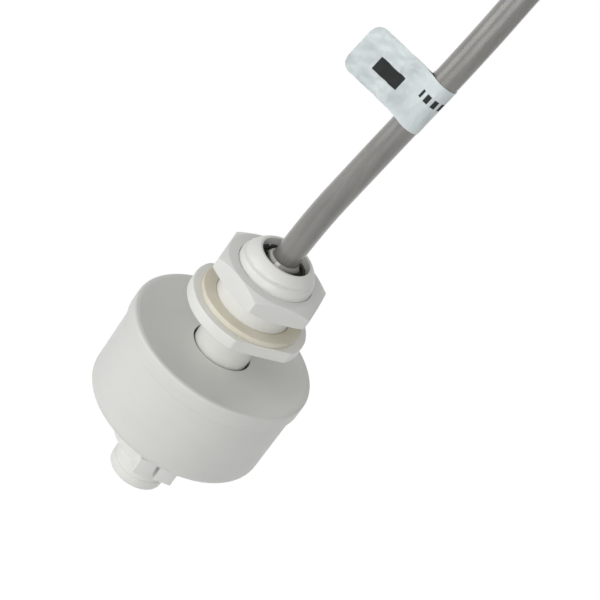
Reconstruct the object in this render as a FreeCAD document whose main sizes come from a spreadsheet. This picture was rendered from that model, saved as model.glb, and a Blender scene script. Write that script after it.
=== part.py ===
"""Vertical float level sensor: a moulded stem with a panel thread, a sliding float and a cable lead."""
import FreeCAD, Part
import Sketcher
import math
import os
from types import SimpleNamespace

Vector = FreeCAD.Vector

# Driving dimensions in millimetres, angles in degrees. Z is up along the stem, 0 is the sealing face.
SIZES = {
    # Moulded stem
    "thread_diameter": 15.8,
    "nose_height": 13.9,
    "nose_rim_width": 1.05,
    "nose_slope_height": 2.7,
    "nose_slope_bulge": 0.405,
    "bore_diameter": 10.2,
    "bore_edge_radius": 0.35,
    "bore_step_depth": 1.2,
    "bore_cone_height": 1.8,
    "lower_bore_diameter": 7.4,
    "bore_end_wall": 1.6,
    "flange_diameter": 25.0,
    "flange_thickness": 2.6,
    "flange_flat_depth": 1.7,
    "flange_edge_radius": 0.3,
    "stem_diameter": 11.7,
    "stem_tail": 8.0,
    "stem_end_radius": 0.8,
    "groove_depth": 1.45,
    "end_cap_height": 2.5,
    "end_cap_step": 0.15,
    # Sealing gasket and lock nut
    "gasket_width": 2.75,
    "gasket_thickness": 1.2,
    "gasket_bore_clearance": 0.15,
    "gasket_edge_radius": 0.25,
    "nut_wall": 2.38,
    "nut_height": 4.1,
    "nut_lift": 4.5,
    "nut_bore_clearance": 0.12,
    "nut_cone_inset": 0.2,
    "nut_top_drop": 1.15,
    "nut_base_drop": 0.7,
    "nut_turn": -5.2,
    # Retaining clip
    "clip_thickness": 2.3,
    "clip_width": 4.5,
    "clip_fit_clearance": 0.1,
    "clip_slot_width": 0.8,
    "clip_lug_width": 3.8,
    "clip_lug_depth": 3.05,
    "clip_lug_height": 1.6,
    "clip_turn": -12.5,
    # Float: welded cup and lid
    "float_travel": 8.4,
    "float_rest_gap": 0.2,
    "float_bore_clearance": 0.45,
    "hub_wall": 1.7,
    "hub_stand": 5.9,
    "float_height": 20.2,
    "cup_top_diameter": 38.0,
    "cup_draft": 0.1,
    "cup_wall": 1.6,
    "cup_floor": 1.6,
    "cup_base_radius": 1.9,
    "spigot_height": 1.8,
    "lid_overhang": 0.5,
    "lid_skirt_height": 3.5,
    "lid_plate": 1.7,
    "lid_rim_width": 0.5,
    "lid_edge_radius": 0.6,
    "lid_hub_drop": 0.7,
    "lid_dish_depth": 0.893,
    "lid_collar_wall": 1.3,
    "lid_collar_height": 2.4,
    "weld_clearance": 0.05,
    # Magnet and its holders inside the float
    "magnet_width": 5.4,
    "magnet_height": 6.0,
    "magnet_clearance": 0.1,
    "rib_count": 6,
    "rib_width": 1.2,
    "rib_height": 4.5,
    "washer_width": 1.9,
    "washer_thickness": 1.2,
    # Reed switch and its wiring
    "reed_glass_diameter": 2.4,
    "reed_glass_length": 14.0,
    "reed_glass_wall": 0.3,
    "reed_glass_end": 1.2,
    "reed_offset": 1.4,
    "reed_lift": 2.4,
    "reed_blade_width": 1.2,
    "reed_blade_thickness": 0.25,
    "reed_blade_overlap": 1.6,
    "reed_contact_gap": 0.12,
    "reed_wire_diameter": 0.6,
    "reed_wire_length": 1.2,
    "reed_top_wire_length": 3.0,
    "solder_size": 1.5,
    "solder_height": 1.0,
    "core_diameter": 1.5,
    "core_offset": 1.75,
    "conductor_diameter": 0.8,
    # Cable, its hank and the resin that holds it
    "resin_depth": 2.0,
    "meniscus_width": 0.8,
    "meniscus_rise": 0.4,
    "meniscus_bulge": 0.12,
    "cable_climb": 2.0,
    "cable_climb_bulge": 0.4,
    "cable_climb_overlap": 0.45,
    "cable_diameter": 5.3,
    "cable_potted_length": 8.9,
    "label_width": 10.3,
    "label_flag_length": 16.1,
    "label_film": 0.15,
    "label_azimuth": 138.4,
    "label_corner_radius": 2.2,
    "hank_x": 101.0,
    "hank_y": -15.0,
    "hank_z": 48.0,
    "hank_facing": -8.0,
    "hank_fold_radius": 16.5,
    "hank_fold_centre": 30.6,
    "hank_waist_half": 6.0,
    "hank_whole_turns": 3,
    "hank_slack": 0.3,
    "tie_width": 4.0,
    "tie_thickness": 1.0,
    "tie_clearance": 0.3,
    "tie_corner_radius": 1.5,
    "tail_length": 14.0,
    "tail_core_length": 26.0,
    "tail_strip_length": 7.0,
}

# The cable's route above the resin, chosen by hand: up from the nose, then over an arch to the hank
ROUTE = [
    (0.0, 0.0, 20.0),
    (2.3, -0.6, 40.0),
    (7.2, 0.0, 68.0),
    (10.3, 1.6, 84.5),
    (15.4, 3.4, 110.5),
    (32.8, 3.8, 128.8),
    (57.2, 3.4, 134.0),
    (80.4, 2.9, 124.6),
]
LAST_RUN = 18.8
TRIM = 6.0
LABEL_RUN = 2
SHARE_OF_RUN = 0.45


class Size:
    """A length with its number and the sheet expression that gives it."""

    def __init__(self, value, text):
        self.value = float(value)
        self.text = text

    @staticmethod
    def of(thing):
        return thing if isinstance(thing, Size) else Size(thing, repr(float(thing)))

    def __add__(self, other):
        other = Size.of(other)
        return Size(self.value + other.value, f"({self.text} + {other.text})")

    def __sub__(self, other):
        other = Size.of(other)
        return Size(self.value - other.value, f"({self.text} - {other.text})")

    def __mul__(self, other):
        other = Size.of(other)
        return Size(self.value * other.value, f"({self.text} * {other.text})")

    def __truediv__(self, other):
        other = Size.of(other)
        return Size(self.value / other.value, f"({self.text} / {other.text})")

    def __neg__(self):
        return Size(-self.value, f"(0 - {self.text})")


def make_sheet(doc):
    """Write the driving dimensions to a spreadsheet and return them as Sizes by name."""
    sheet = doc.addObject("Spreadsheet::Sheet", "Sizes")
    for row, (name, value) in enumerate(SIZES.items(), start=1):
        sheet.set(f"A{row}", name)
        sheet.set(f"B{row}", str(value))
        sheet.setAlias(f"B{row}", name)
    doc.recompute()
    return SimpleNamespace(**{name: Size(sheet.get(name), f"Sizes.{name}") for name in SIZES})


def levels(at):
    """Heights and radii that several pieces share, each worked out once."""
    own = SimpleNamespace()
    own.thread_r = at.thread_diameter / 2
    own.bore_r = at.bore_diameter / 2
    own.low_bore_r = at.lower_bore_diameter / 2
    own.stem_r = at.stem_diameter / 2
    own.groove_r = own.stem_r - at.groove_depth
    own.nose_top = at.nose_height
    own.step_top = -at.bore_step_depth
    own.step_base = own.step_top - at.bore_cone_height
    own.nose_rim_r = own.bore_r + at.nose_rim_width
    own.flange_r = at.flange_diameter / 2
    own.flange_base = -at.flange_thickness
    hub_length = at.hub_stand + at.float_height - at.lid_hub_drop
    own.clip_top = own.flange_base - at.float_travel - hub_length - at.float_rest_gap
    own.clip_base = own.clip_top - at.clip_thickness
    own.stem_base = own.clip_base - at.stem_tail
    own.bore_end = own.clip_top + at.bore_end_wall
    own.resin_top = own.nose_top - at.resin_depth
    own.sheath_end = own.resin_top - at.cable_potted_length
    own.gasket_top = at.gasket_thickness
    own.nut_base = own.gasket_top + at.nut_lift
    own.nut_top = own.nut_base + at.nut_height
    own.hub_bore_r = own.stem_r + at.float_bore_clearance
    own.hub_r = own.hub_bore_r + at.hub_wall
    own.hub_base = own.clip_top + at.float_rest_gap
    own.cup_base = own.hub_base + at.hub_stand
    own.cup_floor_top = own.cup_base + at.cup_floor
    own.float_top = own.cup_base + at.float_height
    own.seam = own.float_top - at.lid_skirt_height
    own.plate_base = own.float_top - at.lid_hub_drop - at.lid_plate
    own.cup_top_r = at.cup_top_diameter / 2
    own.cup_base_r = own.cup_top_r - at.cup_draft
    own.lid_r = own.cup_top_r + at.lid_overhang
    own.spigot_r = own.cup_top_r - at.cup_wall / 2
    own.cup_inner_r = own.cup_top_r - at.cup_wall
    own.cup_inner_base_r = own.cup_base_r - at.cup_wall
    own.magnet_bore_r = own.hub_r + at.magnet_clearance
    own.magnet_r = own.magnet_bore_r + at.magnet_width
    own.magnet_top = own.cup_floor_top + at.magnet_height
    own.glass_base = own.bore_end + at.reed_lift
    own.glass_top = own.glass_base + at.reed_glass_length
    own.low_joint_top = own.glass_base - at.reed_wire_length
    own.top_joint_base = own.glass_top + at.reed_top_wire_length
    own.top_joint_top = own.top_joint_base + at.solder_height
    own.cable_r = at.cable_diameter / 2
    return own


def bind(thing, path, size):
    """Bind one property to its sheet expression."""
    thing.setExpression(path, Size.of(size).text)


def make_body(doc, name):
    body = doc.addObject("PartDesign::Body", name)
    body.Label = name
    return body


def new_sketch(body, name, role, level=None):
    """A sketch on one of the body's own origin planes, lifted to a level if one is given."""
    sketch = body.newObject("Sketcher::SketchObject", name)
    plane = next(item for item in body.Origin.OriginFeatures if item.Role == role)
    sketch.AttachmentSupport = [(plane, "")]
    sketch.MapMode = "FlatFace"
    if level is not None:
        bind(sketch, "AttachmentOffset.Base.z", level)
    return sketch


def hold(sketch, geometry, point, along, size):
    """Fix a point's distance from the sketch's origin along X or Y."""
    if abs(Size.of(size).value) < 1e-9:
        axis = -2 if along == "X" else -1
        sketch.addConstraint(Sketcher.Constraint("PointOnObject", geometry, point, axis))
        return
    spot = sketch.addConstraint(
        Sketcher.Constraint("Distance" + along, -1, 1, geometry, point, Size.of(size).value)
    )
    sketch.setExpression(f"Constraints[{spot}]", Size.of(size).text)


def bulge_radius(start, end, bulge):
    """The radius of an arc between two corners that bulges by so much from its chord."""
    run, rise = Size.of(end[0]) - start[0], Size.of(end[1]) - start[1]
    return (run * run + rise * rise) / (bulge * 8) + bulge / 2


def arc_between(start, end, radius, side):
    """An arc of the given radius; side 1 puts its centre left of the way from start to end."""
    chord = end - start
    middle = (start + end) * 0.5
    height = math.sqrt(max(radius**2 - (chord.Length / 2) ** 2, 0.0))
    across = Vector(-chord.y, chord.x, 0).normalize()
    centre = middle + across * height * side
    first, last = (start, end) if side > 0 else (end, start)
    angles = [math.atan2(spot.y - centre.y, spot.x - centre.x) for spot in (first, last)]
    if angles[1] < angles[0]:
        angles[1] += 2 * math.pi
    return Part.ArcOfCircle(Part.Circle(centre, Vector(0, 0, 1), radius), *angles)


def draw_outline(sketch, corners, arcs=None):
    """Draw a closed outline through the corners, with arcs {edge number: (radius, side)}."""
    arcs = arcs or {}
    spots = [Vector(Size.of(x).value, Size.of(y).value, 0) for x, y in corners]
    ends = []
    for number, start in enumerate(spots):
        end = spots[(number + 1) % len(spots)]
        if number in arcs:
            radius, side = arcs[number]
            edge = sketch.addGeometry(arc_between(start, end, radius.value, side), False)
            ends.append((edge, 1, 2) if side > 0 else (edge, 2, 1))
        else:
            edge = sketch.addGeometry(Part.LineSegment(start, end), False)
            ends.append((edge, 1, 2))
    for number, (edge, first, _) in enumerate(ends):
        before, _, last = ends[number - 1]
        sketch.addConstraint(Sketcher.Constraint("Coincident", before, last, edge, first))
        hold(sketch, edge, first, "X", corners[number][0])
        hold(sketch, edge, first, "Y", corners[number][1])
    for number, (radius, _) in arcs.items():
        spot = sketch.addConstraint(Sketcher.Constraint("Radius", ends[number][0], radius.value))
        sketch.setExpression(f"Constraints[{spot}]", radius.text)


def draw_circle(sketch, radius):
    """Draw a circle about the sketch's origin."""
    circle = sketch.addGeometry(Part.Circle(Vector(0, 0, 0), Vector(0, 0, 1), radius.value), False)
    sketch.addConstraint(Sketcher.Constraint("Coincident", circle, 3, -1, 1))
    spot = sketch.addConstraint(Sketcher.Constraint("Radius", circle, radius.value))
    sketch.setExpression(f"Constraints[{spot}]", radius.text)


def rectangle(left, right, near, far):
    """The corners of a rectangle."""
    return [(left, near), (right, near), (right, far), (left, far)]


def rounded_rectangle(side, depth, corner):
    """The outline of a rectangle about the origin with round corners, and its four arcs."""
    near, low = side - corner, depth - corner
    corners = [
        (near, -depth),
        (side, -low),
        (side, low),
        (near, depth),
        (-near, depth),
        (-side, low),
        (-side, -low),
        (-near, -depth),
    ]
    return corners, {number: (corner, 1) for number in (0, 2, 4, 6)}


def revolve(body, name, corners, arcs=None, kind="Revolution"):
    """Turn a profile of radius and height round the stem's axis, to add or to cut."""
    sketch = new_sketch(body, name + "_profile", "XZ_Plane")
    draw_outline(sketch, corners, arcs)
    feature = body.newObject("PartDesign::" + kind, name)
    feature.Profile = sketch
    feature.ReferenceAxis = (sketch, ["V_Axis"])
    feature.Angle = 360
    body.Document.recompute()
    return feature


def pad(body, name, sketch, height):
    """Raise a sketch by a height."""
    feature = body.newObject("PartDesign::Pad", name)
    feature.Profile = sketch
    bind(feature, "Length", height)
    body.Document.recompute()
    return feature


def pocket(body, name, sketch, depth):
    """Cut a sketch downwards by a depth, and make sure that it removed something."""
    before = body.Shape.Volume
    feature = body.newObject("PartDesign::Pocket", name)
    feature.Profile = sketch
    bind(feature, "Length", depth)
    body.Document.recompute()
    if not body.Shape.Volume < before:
        raise RuntimeError(f"{name} cut nothing from {body.Label}")
    return feature


def ring(body, name, outer, inner, base, height):
    """A flat ring from its radii, base level and height."""
    sketch = new_sketch(body, name + "_outline", "XY_Plane", base)
    draw_circle(sketch, outer)
    draw_circle(sketch, inner)
    return pad(body, name, sketch, height)


def round_edges(body, name, radius, test):
    """Round every edge of the body whose lowest and highest Z and largest radius pass the test."""
    names = []
    for number, edge in enumerate(body.Tip.Shape.Edges, start=1):
        box = edge.BoundBox
        reach = max(math.hypot(spot.Point.x, spot.Point.y) for spot in edge.Vertexes)
        if test(box.ZMin, box.ZMax, reach):
            names.append(f"Edge{number}")
    if not names:
        raise RuntimeError(f"{name} found no edge on {body.Label}")
    base = body.Tip
    feature = body.newObject("PartDesign::Fillet", name)
    feature.Base = (base, names)
    bind(feature, "Radius", radius)
    body.Document.recompute()
    return feature


def level_test(level, least_reach, most_reach=math.inf):
    """A test for edges that lie flat at one level, between two reaches from the axis."""
    slack = 1e-4

    def test(low, high, reach):
        flat = abs(low - level) < slack and abs(high - level) < slack
        return flat and least_reach - slack <= reach <= most_reach + slack

    return test


def make_stem(doc, at, own):
    """The moulded stem: bored nose and thread, flange with two flats, and the lower rod with its groove."""
    body = make_body(doc, "stem")
    slope_base = own.nose_top - at.nose_slope_height
    groove_top = own.clip_top + at.clip_fit_clearance
    groove_base = own.clip_base - at.clip_fit_clearance
    cap_top = own.stem_base + at.end_cap_height
    neck_r = own.stem_r - at.end_cap_step
    corners = [
        (0, own.stem_base),
        (own.stem_r, own.stem_base),
        (own.stem_r, cap_top),
        (neck_r, cap_top),
        (neck_r, groove_base),
        (own.groove_r, groove_base),
        (own.groove_r, groove_top),
        (own.stem_r, groove_top),
        (own.stem_r, own.flange_base),
        (own.flange_r, own.flange_base),
        (own.flange_r, 0),
        (own.thread_r, 0),
        (own.thread_r, slope_base),
        (own.nose_rim_r, own.nose_top),
        (own.bore_r, own.nose_top),
        (own.bore_r, own.step_top),
        (own.low_bore_r, own.step_base),
        (own.low_bore_r, own.bore_end),
        (0, own.bore_end),
    ]
    slope = corners.index((own.thread_r, slope_base))
    bulge = bulge_radius(corners[slope], corners[slope + 1], at.nose_slope_bulge)
    revolve(body, "stem_turned", corners, {slope: (bulge, 1)})

    flats = new_sketch(body, "flange_flats_outline", "XY_Plane")
    near, far = own.flange_r - at.flange_flat_depth, own.flange_r + 1
    draw_outline(flats, rectangle(-far, far, near, far))
    draw_outline(flats, rectangle(-far, far, -far, -near))
    pocket(body, "flange_flats", flats, at.flange_thickness)

    edge_reach = near.value
    for side, level in (("top", 0.0), ("base", own.flange_base.value)):
        round_edges(body, "flange_" + side, at.flange_edge_radius, level_test(level, edge_reach))
    end_test = level_test(own.stem_base.value, own.stem_r.value)
    round_edges(body, "stem_end", at.stem_end_radius, end_test)
    mouth_test = level_test(own.nose_top.value, own.bore_r.value, own.bore_r.value)
    round_edges(body, "bore_mouth", at.bore_edge_radius, mouth_test)
    return body


def make_gasket(doc, at, own):
    """The flat sealing gasket on the flange."""
    body = make_body(doc, "sealing_gasket")
    bore_r = own.thread_r + at.gasket_bore_clearance
    outer_r = bore_r + at.gasket_width
    ring(body, "gasket_ring", outer_r, bore_r, Size.of(0), at.gasket_thickness)
    for level in (0.0, own.gasket_top.value):
        test = level_test(level, outer_r.value)
        side = "top" if level > 0 else "base"
        round_edges(body, "gasket_" + side, at.gasket_edge_radius, test)
    return body


def make_nut(doc, at, own):
    """The hexagonal lock nut, coned at both ends."""
    body = make_body(doc, "lock_nut")
    bore_r = own.thread_r + at.nut_bore_clearance
    flat_r = bore_r + at.nut_wall
    corner_r = flat_r * (2 / math.sqrt(3))
    sketch = new_sketch(body, "nut_hexagon", "XY_Plane", own.nut_base)
    turns = [math.radians(60 * number) for number in range(6)]
    draw_outline(sketch, [(corner_r * math.cos(a), corner_r * math.sin(a)) for a in turns])
    draw_circle(sketch, bore_r)
    pad(body, "nut_blank", sketch, at.nut_height)

    cone_r = flat_r - at.nut_cone_inset
    beyond = 1.3
    outer_r = cone_r + (corner_r - cone_r) * beyond
    for name, level, drop in (
        ("nut_top_cone", own.nut_top, -at.nut_top_drop),
        ("nut_base_cone", own.nut_base, at.nut_base_drop),
    ):
        corners = [(cone_r, level), (outer_r, level), (outer_r, level + drop * beyond)]
        revolve(body, name, corners, kind="Groove")
    body.Placement = FreeCAD.Placement(Vector(0, 0, 0), Vector(0, 0, 1), at.nut_turn.value)
    bind(body, "Placement.Rotation.Angle", at.nut_turn)
    return body


def make_clip(doc, at, own):
    """The split retaining clip that snaps into the stem's groove, with two lugs beside its slot."""
    body = make_body(doc, "retaining_clip")
    inner_r = own.groove_r + at.clip_fit_clearance
    outer_r = inner_r + at.clip_width
    ring(body, "clip_ring", outer_r, inner_r, own.clip_base, at.clip_thickness)

    half_slot = at.clip_slot_width / 2
    half_lugs = half_slot + at.clip_lug_width
    lug_base = own.clip_base - at.clip_lug_height
    lug_reach = own.stem_r + at.clip_fit_clearance + at.clip_lug_depth
    lugs = new_sketch(body, "clip_lugs_outline", "XY_Plane", lug_base)
    draw_outline(lugs, rectangle(-half_lugs, half_lugs, -lug_reach, -own.groove_r))
    pad(body, "clip_lugs", lugs, at.clip_thickness + at.clip_lug_height)

    rod = new_sketch(body, "clip_rod_outline", "XY_Plane", own.clip_base)
    draw_circle(rod, own.stem_r + at.clip_fit_clearance)
    pocket(body, "clip_rod_clearance", rod, at.clip_lug_height)
    throat = new_sketch(body, "clip_throat_outline", "XY_Plane", own.clip_top)
    draw_circle(throat, inner_r)
    pocket(body, "clip_throat", throat, at.clip_thickness)
    slot = new_sketch(body, "clip_slot_outline", "XY_Plane", own.clip_top)
    draw_outline(slot, rectangle(-half_slot, half_slot, -outer_r * 2, 0))
    pocket(body, "clip_slot", slot, at.clip_thickness + at.clip_lug_height)
    body.Placement = FreeCAD.Placement(Vector(0, 0, 0), Vector(0, 0, 1), at.clip_turn.value)
    bind(body, "Placement.Rotation.Angle", at.clip_turn)
    return body


def make_float_cup(doc, at, own):
    """The float's cup: tapered wall, floor, hub tube round the stem, weld spigot and magnet ribs."""
    body = make_body(doc, "float_cup")
    spigot_top = own.seam + at.spigot_height
    corners = [
        (own.hub_bore_r, own.hub_base),
        (own.hub_r, own.hub_base),
        (own.hub_r, own.cup_base),
        (own.cup_base_r, own.cup_base),
        (own.cup_top_r, own.seam),
        (own.spigot_r, own.seam),
        (own.spigot_r, spigot_top),
        (own.cup_inner_r, spigot_top),
        (own.cup_inner_base_r, own.cup_floor_top),
        (own.hub_r, own.cup_floor_top),
        (own.hub_r, own.plate_base),
        (own.hub_bore_r, own.plate_base),
    ]
    revolve(body, "cup_turned", corners)
    base_test = level_test(own.cup_base.value, own.cup_base_r.value)
    round_edges(body, "cup_base_edge", at.cup_base_radius, base_test)

    rib = new_sketch(body, "magnet_rib_outline", "XY_Plane", own.cup_floor_top)
    inner, outer = own.magnet_r + at.magnet_clearance, own.cup_inner_base_r + at.cup_wall / 2
    draw_outline(rib, rectangle(inner, outer, -at.rib_width / 2, at.rib_width / 2))
    first = pad(body, "magnet_rib", rib, at.rib_height)
    ribs = body.newObject("PartDesign::PolarPattern", "magnet_ribs")
    ribs.Originals = [first]
    ribs.Axis = (rib, ["N_Axis"])
    ribs.Angle = 360
    bind(ribs, "Occurrences", at.rib_count)
    body.Tip = ribs
    return body


def make_float_lid(doc, at, own):
    """The float's lid: dished top with a raised rim, weld skirt and a collar round the hub tube."""
    body = make_body(doc, "float_lid")
    rim_inner_r = own.lid_r - at.lid_edge_radius - at.lid_rim_width
    skirt_inner_r = own.spigot_r + at.weld_clearance
    spigot_room = own.seam + at.spigot_height + at.weld_clearance
    collar_inner_r = own.hub_r + at.weld_clearance
    collar_r = collar_inner_r + at.lid_collar_wall
    collar_base = own.plate_base - at.lid_collar_height
    corners = [
        (own.hub_bore_r, own.float_top - at.lid_hub_drop),
        (own.hub_bore_r, own.plate_base),
        (collar_inner_r, own.plate_base),
        (collar_inner_r, collar_base),
        (collar_r, collar_base),
        (collar_r, own.plate_base),
        (own.cup_inner_r - at.lid_plate, own.plate_base),
        (own.cup_inner_r - at.weld_clearance, spigot_room),
        (skirt_inner_r, spigot_room),
        (skirt_inner_r, own.seam),
        (own.lid_r, own.seam),
        (own.lid_r, own.float_top),
        (rim_inner_r, own.float_top),
    ]
    bulge = bulge_radius(corners[-1], corners[0], at.lid_dish_depth)
    revolve(body, "lid_turned", corners, {len(corners) - 1: (bulge, -1)})
    rim_test = level_test(own.float_top.value, own.lid_r.value)
    round_edges(body, "lid_rim_edge", at.lid_edge_radius, rim_test)
    return body


def make_magnet(doc, at, own):
    """The ring magnet that stands on the cup's floor round the hub tube."""
    body = make_body(doc, "float_magnet")
    ring(body, "magnet_ring", own.magnet_r, own.magnet_bore_r, own.cup_floor_top, at.magnet_height)
    return body


def make_magnet_washer(doc, at, own):
    """The push-on washer that holds the magnet down."""
    body = make_body(doc, "magnet_washer")
    washer_r = own.magnet_bore_r + at.washer_width
    ring(body, "washer_ring", washer_r, own.magnet_bore_r, own.magnet_top, at.washer_thickness)
    return body


def add_cylinder(doc, name, radius, height, base, x=0, y=0):
    """An upright cylinder from its radius, height and the place of its lower end."""
    item = doc.addObject("Part::Cylinder", name)
    item.Label = name
    bind(item, "Radius", radius)
    bind(item, "Height", height)
    for axis, place in zip("xyz", (x, y, base)):
        bind(item, f"Placement.Base.{axis}", place)
    return item


def add_box(doc, name, size, corner):
    """A box from its three sizes and its lowest corner."""
    item = doc.addObject("Part::Box", name)
    item.Label = name
    for side, length in zip(("Length", "Width", "Height"), size):
        bind(item, side, length)
    for axis, place in zip("xyz", corner):
        bind(item, f"Placement.Base.{axis}", place)
    return item


def fuse(doc, name, items):
    """Join several shapes into one piece."""
    item = doc.addObject("Part::MultiFuse", name)
    item.Label = name
    item.Shapes = items
    item.Refine = True
    return item


def cut(doc, name, base, tool):
    """Take one shape away from another."""
    item = doc.addObject("Part::Cut", name)
    item.Label = name
    item.Base = base
    item.Tool = tool
    return item


def make_reed_glass(doc, at, own):
    """The reed switch's glass, sealed round a lead at each end and hollow between."""
    body = make_body(doc, "reed_glass")
    glass_r = at.reed_glass_diameter / 2
    wire_r = at.reed_wire_diameter / 2
    room_r = glass_r - at.reed_glass_wall
    low, high = own.glass_base + at.reed_glass_end, own.glass_top - at.reed_glass_end
    corners = [
        (wire_r, own.glass_base),
        (glass_r, low),
        (glass_r, high),
        (wire_r, own.glass_top),
        (wire_r, high),
        (room_r, high - at.reed_glass_wall),
        (room_r, low + at.reed_glass_wall),
        (wire_r, low),
    ]
    revolve(body, "glass_turned", corners)
    bind(body, "Placement.Base.x", -at.reed_offset)
    return body


def make_reed_blades(doc, at, own):
    """The two spring blades, each with a round lead through the glass and a flat tongue inside it."""
    wire_r = at.reed_wire_diameter / 2
    middle = (own.glass_base + own.glass_top) / 2
    tongue_start = at.reed_glass_end + at.reed_glass_wall
    lead_rise = tongue_start + at.reed_blade_thickness
    stand_off = at.reed_contact_gap / 2
    left = -at.reed_offset - at.reed_blade_width / 2
    tongue_height = at.reed_glass_length / 2 - tongue_start + at.reed_blade_overlap / 2
    tongue = (at.reed_blade_width, at.reed_blade_thickness, tongue_height)

    low_lead = at.reed_wire_length + lead_rise
    low = [
        add_cylinder(doc, "low_lead", wire_r, low_lead, own.low_joint_top, -at.reed_offset),
        add_box(doc, "low_tongue", tongue, (left, stand_off, own.glass_base + tongue_start)),
    ]
    top_lead = at.reed_top_wire_length + lead_rise
    top_corner = (left, -stand_off - at.reed_blade_thickness, middle - at.reed_blade_overlap / 2)
    top = [
        add_cylinder(doc, "top_lead", wire_r, top_lead, own.glass_top - lead_rise, -at.reed_offset),
        add_box(doc, "top_tongue", tongue, top_corner),
    ]
    return [fuse(doc, "reed_blade_lower", low), fuse(doc, "reed_blade_upper", top)]


def make_wiring(doc, at, own):
    """The two insulated cores inside the stem and the soldered joints to the reed switch."""
    core_r = at.core_diameter / 2
    joint_half = at.solder_size / 2
    low_joint_base = own.low_joint_top - at.solder_height
    low_size = (at.reed_offset + at.core_offset + at.solder_size, at.solder_size, at.solder_height)
    low_corner = (-at.reed_offset - joint_half, -joint_half, low_joint_base)
    top_size = (at.solder_size, at.solder_size, at.solder_height)
    top_x = -(at.reed_offset + at.core_offset) / 2
    top_corner = (top_x - joint_half, -joint_half, own.top_joint_base)
    brown_length = own.sheath_end - own.top_joint_top
    blue_length = own.sheath_end - own.low_joint_top
    return [
        add_box(doc, "solder_lower", low_size, low_corner),
        add_box(doc, "solder_upper", top_size, top_corner),
        add_cylinder(doc, "core_brown", core_r, brown_length, own.top_joint_top, -at.core_offset),
        add_cylinder(doc, "core_blue", core_r, blue_length, own.low_joint_top, at.core_offset),
    ]


def make_resin(doc, at, own, embedded):
    """The clear resin that fills the bore round everything embedded in it."""
    fill = make_body(doc, "bore_fill")
    climb_top = own.resin_top + at.cable_climb
    corners = [
        (0, own.bore_end),
        (own.low_bore_r, own.bore_end),
        (own.low_bore_r, own.step_base),
        (own.bore_r, own.step_top),
        (own.bore_r, own.resin_top + at.meniscus_rise),
        (own.bore_r - at.meniscus_width, own.resin_top),
        (own.cable_r - at.cable_climb_overlap, climb_top),
        (0, climb_top),
    ]
    wall_arc = bulge_radius(corners[4], corners[5], at.meniscus_bulge)
    cable_arc = bulge_radius(corners[5], corners[6], at.cable_climb_bulge)
    revolve(fill, "fill_turned", corners, {4: (wall_arc, -1), 5: (cable_arc, -1)})
    room_r = at.reed_glass_diameter / 2 - at.reed_glass_wall
    room_base = own.glass_base + at.reed_glass_end
    room_height = at.reed_glass_length - at.reed_glass_end * 2
    room = add_cylinder(doc, "glass_room", room_r, room_height, room_base, -at.reed_offset)
    return cut(doc, "potting_resin", fill, fuse(doc, "embedded_pieces", embedded + [room]))


def hank_frame(at):
    """The hank's middle and its three directions: across its width, through its layers and upwards."""
    facing = math.radians(at.hank_facing.value)
    through = Vector(math.cos(facing), math.sin(facing), 0)
    across = Vector(-math.sin(facing), math.cos(facing), 0)
    middle = Vector(at.hank_x.value, at.hank_y.value, at.hank_z.value)
    return SimpleNamespace(middle=middle, across=across, through=through, up=Vector(0, 0, 1))


def hank_loop(at):
    """The centreline of one loop of the hank: two round folds joined by two inward-bowed sides."""
    fold, centre, waist = (
        at.hank_fold_radius.value,
        at.hank_fold_centre.value,
        at.hank_waist_half.value,
    )
    bow = (waist**2 + centre**2 - fold**2) / (2 * (fold - waist))
    lean = math.atan2(centre, waist + bow)
    side = 2 * lean * bow
    length = 2 * (math.pi + 2 * lean) * fold + 2 * side
    turns = at.hank_whole_turns.value + (2 * lean * fold + side) / length
    half_depth = (turns + 1) * at.cable_diameter.value / 2 + at.hank_slack.value
    return SimpleNamespace(bow=bow, lean=lean, length=length, turns=turns, half_depth=half_depth)


def hank_point(at, side, height, layer):
    """A point of the hank from its place across, above the middle, and its layer from the first."""
    frame = hank_frame(at)
    depth = (layer - hank_loop(at).turns / 2) * at.cable_diameter.value
    return frame.middle + frame.across * side + frame.up * height + frame.through * depth


def path_edges(points):
    """Straight runs joined by tangent arcs, and the radius of each arc."""
    edges, radii = [], []
    start = points[0]
    for before, corner, after in zip(points, points[1:], points[2:]):
        back, ahead = before - corner, after - corner
        reach = SHARE_OF_RUN * min(back.Length, ahead.Length)
        turn = math.pi - back.getAngle(ahead)
        radius = reach / math.tan(turn / 2)
        first = corner + back.normalize() * reach
        last = corner + ahead.normalize() * reach
        inward = (back + ahead).normalize()
        middle = corner + inward * (radius / math.cos(turn / 2) - radius)
        edges.append(Part.LineSegment(start, first).toShape())
        edges.append(Part.Arc(first, middle, last).toShape())
        radii.append(radius)
        start = last
    edges.append(Part.LineSegment(start, points[-1]).toShape())
    return edges, radii


def sweep_tube(points, radius):
    """A round tube along straight runs and tangent arcs, checked against its section times its length."""
    edges, radii = path_edges(points)
    wire = Part.Wire(edges)
    facing = (points[1] - points[0]).normalize()
    section = Part.Wire([Part.Circle(points[0], facing, radius).toShape()])
    tube = wire.makePipeShell([section], True, False)
    expected = math.pi * radius**2 * wire.Length
    if abs(tube.Volume - expected) > 0.002 * expected:
        raise RuntimeError("the cable's volume does not match its length")
    return tube, wire.Length, radii


def cable_route(at, own):
    """Every point of the cable's route, from the sheath's end in the resin to the hank."""
    fold, centre = at.hank_fold_radius.value, at.hank_fold_centre.value
    end = hank_point(at, fold, centre + TRIM, 0)
    points = [Vector(0, 0, own.sheath_end.value)] + [Vector(*spot) for spot in ROUTE]
    return points + [end + Vector(0, 0, LAST_RUN), end]


def add_shape(doc, name, shape):
    """A piece whose shape is worked out here."""
    item = doc.addObject("Part::Feature", name)
    item.Label = name
    item.Shape = shape
    return item


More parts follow.
